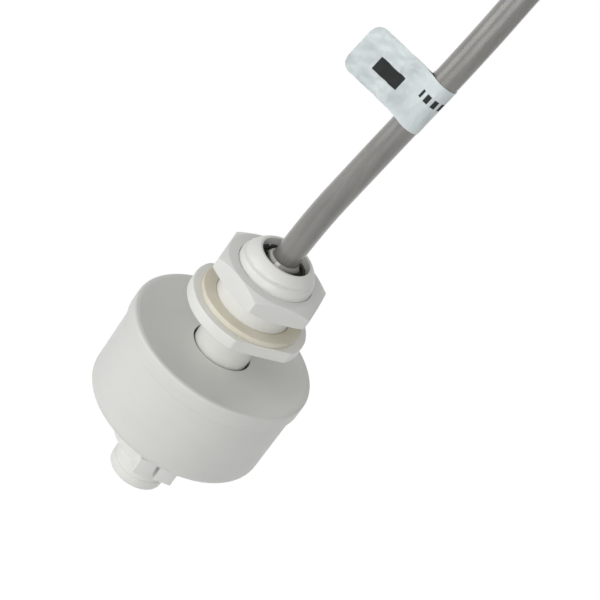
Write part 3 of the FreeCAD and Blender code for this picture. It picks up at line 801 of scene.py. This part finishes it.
@dataclass(frozen=True)
class Stem:
    """The moulded stem: threaded nose, flange with two flats, and rod with the clip's groove.

    Args:
        thread_r: The radius of the thread's crests.
        thread_start: The height at which the thread begins.
        thread_end: The height at which it ends.
        pitch: The thread's pitch.
        groove: The depth of its groove.
        groove_half: Half the groove's width as a share of the pitch.
        groove_start: Where on the turn it begins, as a share of it.
        fade: How far it takes to reach its depth at either end.
        nut_top: The height of the nut's upper face, where the groove is shallow.
        worn: The share of the depth that is left there.
        worn_reach: How far above and below the nut's face that goes.
        worn_fade: How far it takes to reach the full depth from there.
        shoulder: The nose's profile above the thread's straight part.
        slope_bow: How far the nose's slope bulges.
        rim_r: The outer radius of the rim at the nose's mouth.
        nose_top: The height of that rim.
        bore_r: The radius of the bore.
        bore_floor: The height at which the drawn bore ends, under the resin.
        flange_r: The flange's radius.
        flange_base: The height of its underside.
        flat_r: The distance of its flats from the axis.
        rod_r: The rod's radius.
        neck_r: Its radius between the clip and the cap at its end.
        clip_groove_r: The radius at the bottom of the clip's groove.
        clip_groove_top: The height of that groove's upper side.
        clip_groove_base: The height of its lower side.
        cap_top: The height of the end cap's ledge.
        base: The height of the stem's lower end.
    """

    thread_r: float = 7.97
    thread_start: float = 5.6
    thread_end: float = 12.4
    pitch: float = 2.0
    groove: float = 0.42
    groove_half: float = 0.19
    groove_start: float = 0.2278
    fade: float = 0.5
    nut_top: float = 9.85
    worn: float = 0.15
    worn_reach: float = 0.36
    worn_fade: float = 0.4
    shoulder: tuple[Spot, ...] = ((7.93, 10.4), (7.82, 10.95), (7.58, 11.5), (7.28, 11.9))
    slope_bow: float = 0.16
    rim_r: float = 5.62
    nose_top: float = 13.9
    bore_r: float = 5.1
    bore_floor: float = 10.9
    flange_r: float = 12.5
    flange_base: float = -2.6
    flat_r: float = 10.8
    rod_r: float = 5.85
    neck_r: float = 5.65
    clip_groove_r: float = 4.4
    clip_groove_top: float = -36.5
    clip_groove_base: float = -39.0
    cap_top: float = -44.4
    base: float = -46.9

    def build(self) -> None:
        """Make and dress the stem."""
        pale, shade = (0.81, 0.81, 0.775), (0.765, 0.765, 0.73)
        finish = MouldedPlastic("stem_plastic", pale, shade, 0.36)
        dress(self._moulding(), finish.build(), Slot.STEM, Body.FIXED, "stem")

    def _moulding(self) -> bpy.types.Object:
        """Turn the stem's profile.

        Returns:
            The stem.
        """
        outer = [
            (0.0, self.base),
            (self.rod_r, self.base),
            (self.rod_r, self.cap_top),
            (self.neck_r, self.cap_top),
            (self.neck_r, self.clip_groove_base),
            (self.clip_groove_r, self.clip_groove_base),
            (self.clip_groove_r, self.clip_groove_top),
            (self.rod_r, self.clip_groove_top),
            (self.rod_r, self.flange_base),
            (self.flange_r, self.flange_base),
            (self.flange_r, 0.0),
            (self.thread_r, 0.0),
            (self.thread_r, self.thread_start),
        ]
        roundings = {1: 0.8, 2: 0.1, 3: 0.1, 4: 0.15, 7: 0.15, 8: 0.25, 9: 0.3, 10: 0.3}
        threads = dense([outer[-1], *self.shoulder], 0.1)[1:]
        slope = bowed(self.shoulder[-1], (self.rim_r, self.nose_top), self.slope_bow, 22)[1:]
        mouth = [
            slope[-2],
            (self.rim_r, self.nose_top),
            (self.bore_r, self.nose_top),
            (self.bore_r, self.bore_floor),
            (0.0, self.bore_floor),
        ]
        lower, upper = soften(outer, roundings), soften(mouth, {1: 0.1, 2: 0.14})
        profile = lower + threads + slope[:-1] + upper[1:]
        return lathe("stem_moulding", profile, 240, self._shape, sharp=38.0)

    def _shape(self, radius: float, height: float, angle: float) -> Spot:
        """Cut the flange's flats and press the thread into the nose.

        Args:
            radius: A point's radius.
            height: Its height.
            angle: Its angle round the axis.

        Returns:
            Its new radius, and its height.
        """
        side = abs(math.sin(angle))
        if side > TINY:
            radius = min(radius, self.flat_r / side)
        if self.thread_start < height < self.thread_end and radius > self.rim_r:
            radius -= self._thread(height, angle)
        return radius, height

    def _thread(self, height: float, angle: float) -> float:
        """Work out the thread's shallow groove at a place.

        Args:
            height: The place's height.
            angle: Its angle round the axis.

        Returns:
            How deep the groove is there; it is shallow where the nut's top edge rubs.
        """
        turn = (height / self.pitch - angle / (2 * math.pi) + self.groove_start) % 1.0
        near = max(0.0, 1 - abs(turn - 0.5) / self.groove_half)
        start = min(1.0, max(0.0, (height - self.thread_start) / self.fade))
        end = min(1.0, max(0.0, (self.thread_end - height) / self.fade))
        away = (abs(height - self.nut_top) - self.worn_reach) / self.worn_fade
        rubbed = min(1.0, max(self.worn, away))
        return self.groove * near * near * (3 - 2 * near) * start * end * rubbed


@dataclass(frozen=True)
class Gasket:
    """The flat gasket that seals the flange.

    Args:
        bore_r: The radius of its hole.
        outer_r: Its outer radius.
        top: The height of its upper face.
        wander: How far its outer edge wanders.
    """

    bore_r: float = 8.05
    outer_r: float = 10.8
    top: float = 1.2
    wander: float = 0.05

    def build(self) -> None:
        """Make and dress the gasket."""
        corners = [
            (self.bore_r, 0.0),
            (self.outer_r, 0.0),
            (self.outer_r, self.top),
            (self.bore_r, self.top),
            (self.bore_r, 0.0),
        ]
        rounded = soften(corners, {1: 0.25, 2: 0.22, 3: 0.12})
        ring = lathe("gasket_ring", rounded, 160, self._shape)
        dress(ring, GasketRubber().build(), Slot.GASKET, Body.FIXED, "sealing_gasket")

    def _shape(self, radius: float, height: float, angle: float) -> Spot:
        """Let the outer edge wander a little.

        Args:
            radius: A point's radius.
            height: Its height.
            angle: Its angle round the axis.

        Returns:
            Its new radius, and its height.
        """
        if height < self.top / 2 or radius < (self.bore_r + self.outer_r) / 2:
            return radius, height
        drift = noise.noise(Vector((math.cos(angle) * 1.6, math.sin(angle) * 1.6, height)))
        return radius + self.wander * drift, height


@dataclass(frozen=True)
class Clip:
    """The split clip in the stem's groove.

    Args:
        edge: How wide its edges are rounded.
    """

    edge: float = 0.22

    def build(self) -> None:
        """Make and dress the clip."""
        pale, shade = (0.80, 0.805, 0.775), (0.74, 0.745, 0.715)
        finish = MouldedPlastic("clip_plastic", pale, shade, 0.36)
        clip = rounded_copy("retaining_clip", "clip_moulding", self.edge)
        dress(clip, finish.build(), Slot.CLIP, Body.FIXED, "retaining_clip")


@dataclass(frozen=True)
class Resin:
    """The resin in the bore, which creeps up its wall and up the cable.

    Args:
        bore_r: The radius of the bore.
        inner_r: The radius at which the resin's lip ends, inside the cable.
        base: The height at which the drawn resin ends.
        level: The height of its surface in the moat.
        moat_r: The moat's radius where it is deepest.
        wall_top: The height that it reaches on the wall.
        crown: The radius and height of the collar's outer edge.
        lip_top: The height that it reaches on the cable.
        wave: How far its surface rises and falls.
    """

    bore_r: float = 5.1
    inner_r: float = 2.45
    base: float = 11.0
    level: float = 11.9
    moat_r: float = 4.6
    wall_top: float = 12.2
    crown: Spot = (3.27, 13.03)
    lip_top: float = 13.65
    wave: float = 0.2

    def build(self) -> None:
        """Make and dress the resin's visible fill."""
        moat, lip_end = (self.moat_r, self.level), (self.inner_r, self.lip_top)
        core_floor = self.base + 0.5
        profile = [
            (0.0, self.base),
            (self.bore_r, self.base),
            *bowed((self.bore_r, self.wall_top), moat, -0.12, 6),
            *bowed(moat, self.crown, -0.16, 14)[1:],
            *bowed(self.crown, lip_end, 0.12, 6)[1:],
            (self.inner_r, core_floor),
            (0.0, core_floor),
        ]
        fill = lathe("resin_fill", profile, 128, self._shape, sharp=60.0)
        dress(fill, PottingResin(0.0032, 0.0036).build(), Slot.RESIN, Body.FIXED, "potting_resin")

    def _shape(self, radius: float, height: float, angle: float) -> Spot:
        """Let the surface rise and fall a little round the bore, and less near its wall.

        Args:
            radius: A point's radius.
            height: Its height.
            angle: Its angle round the axis.

        Returns:
            Its radius, and its new height.
        """
        if height < self.level - self.wave:
            return radius, height
        drift = noise.noise(Vector((math.cos(angle) * 1.3, math.sin(angle) * 1.3, 3.0)))
        return radius, height + self.wave * drift * (1 if radius < self.moat_r else 0.4)


@dataclass(frozen=True)
class Nut:
    """The hexagonal lock nut.

    Args:
        edge: How wide its edges are rounded.
    """

    edge: float = 0.28

    def build(self) -> None:
        """Make and dress the nut."""
        pale, shade = (0.765, 0.77, 0.74), (0.72, 0.725, 0.695)
        finish = MouldedPlastic("nut_plastic", pale, shade, 0.36)
        nut = rounded_copy("lock_nut", "nut_moulding", self.edge)
        dress(nut, finish.build(), Slot.NUT, Body.NUT, "lock_nut")


@dataclass(frozen=True)
class Float:
    """The hollow float: a cup with its hub tube, and a dished lid welded on.

    Args:
        bore_r: The radius of the bore.
        hub_r: The hub's outer radius.
        hub_base: The height of the hub's lower end.
        cup_base: The height of the cup's underside.
        seam: The height at which the lid's skirt meets the cup.
        top: The height of the lid's rim.
        hub_top: The height of the lid at the bore.
        cup_r: The cup's radius at the seam.
        base_r: Its radius at the underside.
        lid_r: The radius of the lid's skirt.
        rim_inner_r: The inner radius of the lid's rim.
        dish: How far the lid's dish sags.
        plate_base: The height of the lid's underside at the hub.
        wall_r: The inner radius of the cup's wall at the top.
        wall_base_r: The same at its floor.
        floor_top: The height of the cup's floor, inside.
        spigot_r: The outer radius of the spigot at the cup's mouth.
        spigot_top: The height of its top.
        spigot_gap: The gap between it and the lid.
        step_r: The radius at which the lid's underside begins to rise to the spigot.
    """

    bore_r: float = 6.3
    hub_r: float = 8.0
    hub_base: float = -36.4
    cup_base: float = -30.5
    seam: float = -13.8
    top: float = -10.3
    hub_top: float = -11.0
    cup_r: float = 19.0
    base_r: float = 18.9
    lid_r: float = 19.5
    rim_inner_r: float = 18.4
    dish: float = 0.893
    plate_base: float = -12.7
    wall_r: float = 17.4
    wall_base_r: float = 17.3
    floor_top: float = -28.9
    spigot_r: float = 18.2
    spigot_top: float = -12.0
    spigot_gap: float = 0.05
    step_r: float = 17.0

    def build(self) -> None:
        """Make and dress the float."""
        pale, shade = (0.715, 0.722, 0.69), (0.67, 0.677, 0.645)
        plastic = MouldedPlastic("float_plastic", pale, shade, 0.4, 0.12).build()
        dress(self._cup(), plastic, Slot.FLOAT, Body.FLOAT, "float_cup")
        dress(self._lid(), plastic, Slot.FLOAT, Body.FLOAT, "float_lid")

    def _cup(self) -> bpy.types.Object:
        """Turn the cup, hollow as the real one is.

        Returns:
            The cup.
        """
        corners = [
            (self.bore_r, self.hub_base),
            (self.hub_r, self.hub_base),
            (self.hub_r, self.cup_base),
            (self.base_r, self.cup_base),
            (self.cup_r, self.seam),
            (self.spigot_r, self.seam),
            (self.spigot_r, self.spigot_top),
            (self.wall_r, self.spigot_top),
            (self.wall_base_r, self.floor_top),
            (self.hub_r, self.floor_top),
            (self.hub_r, self.plate_base),
            (self.bore_r, self.plate_base),
        ]
        rounded = soften(corners, {1: 0.3, 2: 0.4, 3: 1.9, 4: 0.22}, 8)
        return lathe("float_shell", rounded, 256, closed=True)

    def _lid(self) -> bpy.types.Object:
        """Turn the lid with its dish, rim and skirt.

        Returns:
            The lid.
        """
        dish = bowed((self.rim_inner_r, self.top), (self.bore_r, self.hub_top), -self.dish, 28)
        gap, ledge = self.spigot_gap, self.spigot_top + self.spigot_gap
        corners = [
            (self.bore_r, self.plate_base),
            (self.step_r, self.plate_base),
            (self.wall_r - gap, ledge),
            (self.spigot_r + gap, ledge),
            (self.spigot_r + gap, self.seam),
            (self.lid_r, self.seam),
            (self.lid_r, self.top),
            (self.rim_inner_r, self.top),
            dish[1],
        ]
        rounded = soften(corners, {5: 0.2, 6: 0.6, 7: 0.25})
        return lathe("float_cover", rounded[:-1] + dish[1:], 256, closed=True)


# The cable with its hank and tail, and the label on it


@dataclass(frozen=True)
class Hank:
    """The wound part of the cable, folded round two ends and held by a tie.

    Args:
        middle: The hank's middle.
        facing: The direction in which its turns lie side by side, as an angle from +X.
        fold: The radius of the two folds.
        centre: How far the folds' centres are above and below the middle.
        waist: Half the width between the sides, at the middle.
        whole_turns: How many whole turns it has.
        pitch: How far apart the turns are.
        per_turn: How many points of the curve a turn has.
    """

    middle: Triple = (101.0, -15.0, 48.0)
    facing: float = math.radians(-8.0)
    fold: float = 16.5
    centre: float = 30.6
    waist: float = 6.0
    whole_turns: int = 3
    pitch: float = 5.3
    per_turn: int = 18

    @property
    def bow(self) -> float:
        """Return the radius of the sides between the folds."""
        return (self.waist**2 + self.centre**2 - self.fold**2) / (2 * (self.fold - self.waist))

    @property
    def lean(self) -> float:
        """Return half the angle that each side turns through."""
        return math.atan2(self.centre, self.waist + self.bow)

    @property
    def side(self) -> float:
        """Return the length of one side."""
        return 2 * self.lean * self.bow

    @property
    def loop(self) -> float:
        """Return the length of one loop."""
        return 2 * (math.pi + 2 * self.lean) * self.fold + 2 * self.side

    @property
    def turns(self) -> float:
        """Return how many loops there are."""
        return self.whole_turns + (2 * self.lean * self.fold + self.side) / self.loop

    def outline(self, distance: float) -> Spot:
        """Return a place on a loop.

        Args:
            distance: How far along the loop it is, downwards from the right of the upper fold.

        Returns:
            How far across and above the hank's middle the place is.
        """
        first = self.lean * self.fold
        half = first + self.side + first + math.pi * self.fold
        along = distance % self.loop
        mirror = along >= half
        if mirror:
            along -= half
        if along < first:
            angle = -along / self.fold
            spot = (self.fold * math.cos(angle), self.centre + self.fold * math.sin(angle))
        elif along < first + self.side:
            angle = self.lean - (along - first) / self.bow
            spot = (self.waist + self.bow * (1 - math.cos(angle)), self.bow * math.sin(angle))
        else:
            angle = self.lean - (along - first - self.side) / self.fold
            spot = (self.fold * math.cos(angle), -self.centre + self.fold * math.sin(angle))
        return (-spot[0], -spot[1]) if mirror else spot

    def point(self, across: float, above: float, layer: float) -> Vector:
        """Return a point of the hank in metres.

        Args:
            across: How far across the hank's middle it is.
            above: How far above the middle.
            layer: How many turns it is from the first.

        Returns:
            The point.
        """
        depth = (layer - self.turns / 2) * self.pitch
        x = self.middle[0] - across * math.sin(self.facing) + depth * math.cos(self.facing)
        y = self.middle[1] + across * math.cos(self.facing) + depth * math.sin(self.facing)
        return Vector((x, y, self.middle[2] + above)) * MM

    def points(self) -> list[Vector]:
        """Wind every turn.

        Returns:
            The points in order, in metres.
        """
        count = round(self.turns * self.per_turn)
        spots = []
        for step in range(1, count):
            layer = self.turns * step / count
            spots.append(self.point(*self.outline(layer * self.loop), layer))
        return spots


@dataclass(frozen=True)
class CableLead:
    """The cable from the resin over an arch to its hank, and its tail.

    Args:
        radius: The cable's radius.
        lead_in: How far above the hank's first turn the cable comes straight down.
        trim: How far above the upper fold's centre that turn begins.
        tail: The length of the tail under the hank.
        length: The real lead's length in metres; it is not used.
        hank: The wound part.
        route: The points from the resin to the hank.
    """

    radius: float = 2.7
    lead_in: float = 18.8
    trim: float = 6.0
    tail: float = 14.0
    length: float = 1.0
    hank: Hank = Hank()
    route: tuple[Triple, ...] = (
        (0.0, 0.0, 3.0),
        (0.0, 0.0, 20.0),
        (2.45, -0.65, 40.0),
        (7.38, -0.05, 68.0),
        (10.5, 1.55, 84.5),
        (15.4, 3.4, 110.5),
        (32.8, 3.8, 128.8),
        (57.2, 3.4, 134.0),
        (80.4, 2.9, 124.6),
    )

    def build(self, label: bpy.types.Object) -> None:
        """Args:
            label: The label that it carries; it is not used.
        """
        cable = self._spline()
        nodes = ("cable", "cable_hank", "cable_tail")
        dress(cable, CableSheath().build(), Slot.SHEATH, Body.FIXED, *nodes)

    def _points(self) -> list[Vector]:
        """Join the route, the hank and the tail.

        Returns:
            Every point in metres, in order.
        """
        hank = self.hank
        entry = hank.point(hank.fold, hank.centre + self.trim, 0)
        low = -hank.centre
        return [
            *(Vector(spot) * MM for spot in self.route),
            entry + Vector((0.0, 0.0, self.lead_in)) * MM,
            entry,
            *hank.points(),
            hank.point(hank.fold, low, hank.turns),
            hank.point(hank.fold, low - self.tail, hank.turns),
        ]

    def _spline(self) -> bpy.types.Object:
        """Make the cable as one smooth curve.

        Returns:
            The cable, linked to the scene.
        """
        curve = bpy.data.curves.new("cable_lead", "CURVE")
        curve.dimensions = "3D"
        curve.bevel_depth = self.radius * MM
        curve.bevel_resolution = 10
        curve.use_fill_caps = True
        points = self._points()
        line = curve.splines.new("NURBS")
        line.points.add(len(points) - 1)
        for spot, place in zip(line.points, points):
            spot.co = (*place, 1.0)
        line.order_u = 3
        line.use_endpoint_u = True
        line.resolution_u = 10
        thing = bpy.data.objects.new("cable_lead", curve)
        bpy.context.scene.collection.objects.link(thing)
        return thing


@dataclass(frozen=True)
class Label:
    """The film label: one strip laid round the cable, its two ends stuck together as a flag.

    Args:
        middle: The place on the cable's axis at the label's middle.
        along: The cable's direction there.
        azimuth: The level direction in which the flag stands out.
        width: The strip's width.
        reach: How far the flag reaches from the cable's axis.
        cable_r: The cable's radius.
        set_back: How far the flag lies to the side of the cable's axis.
        film: The strip's thickness.
        corner: The radius of the flag's corners.
        neck: How far the strip takes to bend from the flag towards the cable.
        near_lift: The angle at which the flag's near half meets the cable, from the flag.
        far_lift: The same of its far half.
        taut: How far out the strip still lies flat on the cable.
        wave: The height of the waves all over the flag.
        crease: The height of the creases near the cable.
        curl: How far the flag's end curls.
        rows: How many faces the strip is wide.
        turns: How many steps it takes round the cable.
    """

    middle: Triple = (5.15, -0.32, 55.35)
    along: Triple = (0.17235, 0.02110, 0.98481)
    azimuth: float = math.radians(138.4)
    width: float = 10.7
    reach: float = 16.1
    cable_r: float = 2.7
    set_back: float = 1.3
    film: float = 0.1
    corner: float = 2.2
    neck: float = 1.6
    near_lift: float = math.radians(66.0)
    far_lift: float = math.radians(12.0)
    taut: float = 3.2
    wave: float = 0.12
    crease: float = 0.34
    curl: float = 0.5
    rows: int = 28
    turns: int = 48

    def build(self) -> bpy.types.Object:
        """Make and dress the label.

        Returns:
            The label.
        """
        path = self._path()
        total = sum(math.dist(*pair) for pair in zip(path, path[1:]))
        LOG.info("the label's strip is %.1f by %.1f mm", total, self.width)
        film = LabelFilm(total, self.width).build()
        return dress(self._strip(path), film, Slot.LABEL, Body.FIXED, "cable_label")

    def _path(self) -> Profile:
        """Lead the strip's middle line round the cable.

        Returns:
            Its points from one end to the other, seen along the cable.
        """
        radius = self.cable_r + 0.6 * self.film
        near, far = self._side(radius, 1), self._side(radius, -1)
        first, last = (math.atan2(side[-1][1], side[-1][0]) for side in (near, far))
        step = (2 * math.pi + last - first) / self.turns
        angles = [first + step * number for number in range(1, self.turns)]
        return near + [(radius * math.cos(a), radius * math.sin(a)) for a in angles] + far[::-1]

    def _side(self, radius: float, sign: int) -> Profile:
        """Return one half of the strip from its end to where it meets the cable.

        Args:
            radius: The radius of the strip round the cable.
            sign: 1 for the near half, -1 for the far half.

        Returns:
            The half's points.
        """
        level = self.set_back + sign * 0.55 * self.film
        lift = self.near_lift if sign > 0 else self.far_lift
        end = (radius * math.cos(lift), radius * math.sin(lift))
        slope = -math.cos(lift) / math.sin(lift)
        corner = (end[0] + (level - end[1]) / slope, level)
        neck = (corner[0] + self.neck, level)
        bend = [self._between(neck, corner, end, step / 10) for step in range(1, 11)]
        return dense([(self.reach, level), neck], 0.3) + bend

    @staticmethod
    def _between(start: Spot, corner: Spot, end: Spot, share: float) -> Spot:
        """Return a point on the curve that rounds a corner."""
        first, second, third = (1 - share) ** 2, 2 * share * (1 - share), share**2
        return tuple(first * a + second * b + third * c for a, b, c in zip(start, corner, end))

    def _strip(self, path: Profile) -> bpy.types.Object:
        """Lay the strip's two faces along its middle line and join their edges.

        Args:
            path: The middle line.

        Returns:
            The strip, with surface coordinates that run along and across it.
        """
        build = bmesh.new()
        layer = build.loops.layers.uv.new("strip")
        places: dict[bmesh.types.BMVert, Spot] = {}
        front, back = (self._face(build, path, side, places) for side in (0.5, -0.5))
        loops = [list(zip(grid, grid[1:])) for grid in (front, back)]
        ends = [(front[0], back[0]), (front[-1], back[-1])]
        for low, high in (*loops[0], *loops[1], *ends):
            self._join(build, low, high)
        for row in (0, self.rows):
            self._join(build, [line[row] for line in front], [line[row] for line in back])
        for face in build.faces:
            for loop in face.loops:
                loop[layer].uv = places[loop.vert]
        return new_object("label_strip", build, 50.0)

    def _face(
        self, build: bmesh.types.BMesh, path: Profile, side: float, places: dict
    ) -> list[list[bmesh.types.BMVert]]:
        """Lay the points of one face of the strip.

        Args:
            build: The mesh in the making.
            path: The middle line.
            side: How far the face is from it, in thicknesses of the film.
            places: Gets each point's surface coordinates.

        Returns:
            A line of points across the strip for each point of the middle line.
        """
        runs = [0.0]
        for start, end in zip(path, path[1:]):
            runs.append(runs[-1] + math.dist(start, end))
        grid = []
        for number, (x, y) in enumerate(path):
            normal = self._normal(path, number) * side * self.film
            half = self._half_width(x)
            line = []
            for row in range(self.rows + 1):
                across = half * (2 * row / self.rows - 1)
                vert = build.verts.new(self._placed(x + normal.x, y + normal.y, across))
                places[vert] = (runs[number] / runs[-1], 0.5 + across / self.width)
                line.append(vert)
            grid.append(line)
        return grid

    @staticmethod
    def _join(build: bmesh.types.BMesh, low: Sequence, high: Sequence) -> None:
        """Fill the gap between two lines of points with faces."""
        for corners in zip(low, low[1:], high[1:], high):
            build.faces.new(corners)

    @staticmethod
    def _normal(path: Profile, number: int) -> Vector:
        """Return the outward direction at one point of the middle line.

        Args:
            path: The middle line.
            number: The point's number.

        Returns:
            A direction of length 1.
        """
        before, after = path[max(number - 1, 0)], path[min(number + 1, len(path) - 1)]
        way = Vector(after) - Vector(before)
        return Vector((-way.y, way.x)).normalized() * -1

    def _half_width(self, reach: float) -> float:
        """Return half the strip's width, which narrows round the flag's corners."""
        past = max(0.0, reach - (self.reach - self.corner))
        return self.width / 2 - self.corner + math.sqrt(max(0.0, self.corner**2 - past**2))

    def _placed(self, x: float, y: float, across: float) -> Vector:
        """Return a point of the creased and slightly curled label in metres.

        Args:
            x: How far out from the cable's axis it is.
            y: How far to the side of the flag.
            across: How far along the cable from the label's middle.

        Returns:
            The point.
        """
        free = min(1.0, max(0.0, (x - self.taut) / 2.0))
        near = free * max(0.0, 1 - (x - 5.5) / 7.0) if x > 5.5 else free
        fold = noise.noise(Vector((x * 0.55, across * 0.9, 2.0)))
        fine = noise.noise(Vector((x * 1.3, across * 1.7, 5.0)))
        y += free * self.wave * fold + near * self.crease * (fold + 0.5 * fine)
        y += self.curl * (max(0.0, x - 6.0) / 10.0) ** 2
        along = Vector(self.along).normalized()
        level = Vector((math.cos(self.azimuth), math.sin(self.azimuth), 0.0))
        outward = (level - along * level.dot(along)).normalized()
        offset = outward * x + along.cross(outward) * y + along * across
        return (Vector(self.middle) + offset) * MM


class HiddenParts:
    """The pieces that keep their CAD meshes and get their own materials."""

    def build(self) -> None:
        """Dress every one of them."""
        blades = Metal("reed_metal", (0.55, 0.52, 0.46), 0.3).build()
        solder = Metal("solder", (0.6, 0.6, 0.62), 0.35).build()
        brown = self._plastic("core_brown", (0.16, 0.065, 0.03), (0.13, 0.05, 0.022), 0.42, 0.05)
        blue = self._plastic("core_blue", (0.03, 0.13, 0.42), (0.025, 0.105, 0.34), 0.42, 0.05)
        ferrite, worn = (0.05, 0.05, 0.052), (0.032, 0.032, 0.034)
        black, dusty = (0.04, 0.04, 0.042), (0.026, 0.026, 0.028)
        materials = {
            "float_magnet": self._plastic("magnet_ferrite", ferrite, worn, 0.6, 0.0),
            "magnet_washer": Metal("washer_steel", (0.5, 0.5, 0.5), 0.35).build(),
            "reed_glass": ReedGlass().build(),
            "reed_blade_lower": blades,
            "reed_blade_upper": blades,
            "solder_lower": solder,
            "solder_upper": solder,
            "core_brown": brown,
            "core_blue": blue,
            "tail_core_brown": brown,
            "tail_core_blue": blue,
            "hank_tie": self._plastic("tie_plastic", black, dusty, 0.4, 0.02),
        }
        for node, material in materials.items():
            thing = bpy.data.objects[node]
            thing.data.materials.clear()
            thing.data.materials.append(material)
            LOG.info("dressed the CAD's %s", node)

    @staticmethod
    def _plastic(name: str, *settings: Union[Colour, float]) -> bpy.types.Material:
        """Return the material of a plastic with some settings."""
        return MouldedPlastic(name, *settings).build()


# Camera, lights and floor


@dataclass(frozen=True)
class Camera:
    """The camera at the photograph's viewpoint.

    Args:
        place: Where it stands, in metres.
        right: The direction of the picture's right-hand side.
        back: The direction from the object to the camera.
        focal: The focal length in pixels of the photograph.
        frame: The photograph's width in pixels.
        sensor: The sensor's width in millimetres.
        nearest: The nearest distance that it sees, in metres.
        furthest: The furthest.
    """

    place: Triple = (-0.241286, -0.324483, 0.250370)
    right: Triple = (0.8253, -0.2538, 0.5045)
    back: Triple = (-0.52327, -0.67948, 0.51429)
    focal: float = 2487.8
    frame: float = 600.0
    sensor: float = 36.0
    nearest: float = 0.01
    furthest: float = 10.0

    def build(self) -> None:
        """Make the camera and look through it."""
        data = bpy.data.cameras.new("camera")
        data.sensor_width = self.sensor
        data.lens = self.focal / self.frame * self.sensor
        data.clip_start, data.clip_end = self.nearest, self.furthest
        camera = bpy.data.objects.new("camera", data)
        camera.matrix_world = Matrix.Translation(self.place) @ self._turn().to_4x4()
        bpy.context.scene.collection.objects.link(camera)
        bpy.context.scene.camera = camera

    def _turn(self) -> Matrix:
        """Make the camera's rotation exactly square.

        Returns:
            The rotation.
        """
        back = Vector(self.back).normalized()
        right = Vector(self.right)
        right = (right - back * right.dot(back)).normalized()
        return Matrix((right, back.cross(right), back)).transposed()


@dataclass(frozen=True)
class Lamp:
    """A soft square light, aimed at the object.

    Args:
        name: The light's name.
        azimuth: Where it stands round the stem, in degrees from +X.
        elevation: How far above the object's middle, in degrees.
        distance: How far away it stands in metres.
        size: Its width in metres.
        power: Its power in watts.
        middle: The height of the object's middle in metres.
    """

    name: str
    azimuth: float
    elevation: float
    distance: float
    size: float
    power: float
    middle: float = -0.01

    def build(self) -> None:
        """Make the light."""
        data = bpy.data.lights.new(self.name, "AREA")
        data.size = self.size
        data.energy = self.power
        lamp = bpy.data.objects.new(self.name, data)
        azimuth, elevation = math.radians(self.azimuth), math.radians(self.elevation)
        flat = math.cos(elevation)
        way = Vector((flat * math.cos(azimuth), flat * math.sin(azimuth), math.sin(elevation)))
        place = way * self.distance + Vector((0.0, 0.0, self.middle))
        turn = way.to_track_quat("Z", "Y").to_matrix().to_4x4()
        lamp.matrix_world = Matrix.Translation(place) @ turn
        bpy.context.scene.collection.objects.link(lamp)


@dataclass(frozen=True)
class Studio:
    """The floor under the object and the even light from all round.

    Args:
        floor_z: The floor's height in metres.
        floor_size: Half its width in metres.
        floor_light: How brightly it lights the object.
        floor_seen: How bright it looks by itself, without the light that falls on it.
        pale: The floor's colour.
        shade: The colour of its cloudier places.
        horizon: The sky's light at the horizon and below it.
        zenith: How much stronger it is straight overhead.
        seen_by: The rays that see the sky as white and the floor as bright.
    """

    floor_z: float = -0.32
    floor_size: float = 4.0
    floor_light: float = 0.28
    floor_seen: float = 0.86
    pale: Colour = (0.30, 0.30, 0.30)
    shade: Colour = (0.28, 0.28, 0.28)
    horizon: float = 0.33
    zenith: float = 0.22
    seen_by: tuple[str, ...] = ("Camera", "Glossy", "Transmission")

    def build(self) -> None:
        """Make the sky and the floor."""
        bpy.context.scene.view_settings.view_transform = "Standard"
        self._sky()
        self._floor()

    def _seen(self, paint: Painter) -> Value:
        """Tell what is seen from what only gives light.

        Args:
            paint: The painter of the nodes.

        Returns:
            1 to the camera, in reflections and through glass, and 0 to other rays.
        """
        path = "ShaderNodeLightPath"
        camera, *others = (paint.node(path, {}, {}, f"Is {kind} Ray") for kind in self.seen_by)
        for ray in others:
            camera = camera.most(ray)
        return camera

    def _sky(self) -> None:
        """Light the object a little more from overhead, and look white where it is seen."""
        world = bpy.data.worlds.new("studio")
        bpy.context.scene.world = world
        paint = Painter(world)
        up = paint.axis(2, paint.place("Generated"))
        light = up.most(0.0) ** 2.0 * self.zenith + self.horizon
        sky = world.node_tree.nodes["Background"]
        paint.plug(sky.inputs["Color"], (1.0, 1.0, 1.0))
        paint.plug(sky.inputs["Strength"], self._seen(paint) * (1.0 - light) + light)

    def _floor(self) -> None:
        """Lay a plain pale floor well under the object."""
        build = bmesh.new()
        bmesh.ops.create_grid(build, x_segments=4, y_segments=4, size=self.floor_size)
        floor = new_object("floor", build)
        floor.location = (0.0, 0.0, self.floor_z)
        paint = Painter.material("floor_paper")
        grain = paint.cloud(30.0, 2.0)
        light, seen = (self.floor_light,) * 3, (self.floor_seen,) * 3
        paint.shade(
            Base_Color=paint.mix(grain, self.pale, self.shade),
            Roughness=0.9,
            Specular_IOR_Level=0.0,
            Emission_Color=paint.mix(self._seen(paint), light, seen),
            Emission_Strength=1.0,
        )
        floor.data.materials.append(paint.owner)


LAMPS = (
    Lamp("key_light", 170.0, 12.0, 1.0, 0.7, 3.7),
    Lamp("fill_light", 234.0, 15.0, 1.0, 0.7, 3.6),
)


def corners(box: Sequence[Sequence[float]]) -> list[list[float]]:
    """Return a box as plain lists."""
    return [list(corner) for corner in box]


def main() -> None:
    """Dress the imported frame."""
    logging.basicConfig(level=logging.INFO, format="%(name)s: %(message)s")
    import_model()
    Camera().build()
    CableLead().build(Label().build())
    pieces = (Stem(), Gasket(), Clip(), Resin(), Nut(), Float(), HiddenParts())
    for assembly in (*pieces, Studio(), *LAMPS):
        assembly.build()
        LOG.info("built %s", type(assembly).__name__)


if __name__ == "__main__":
    main()
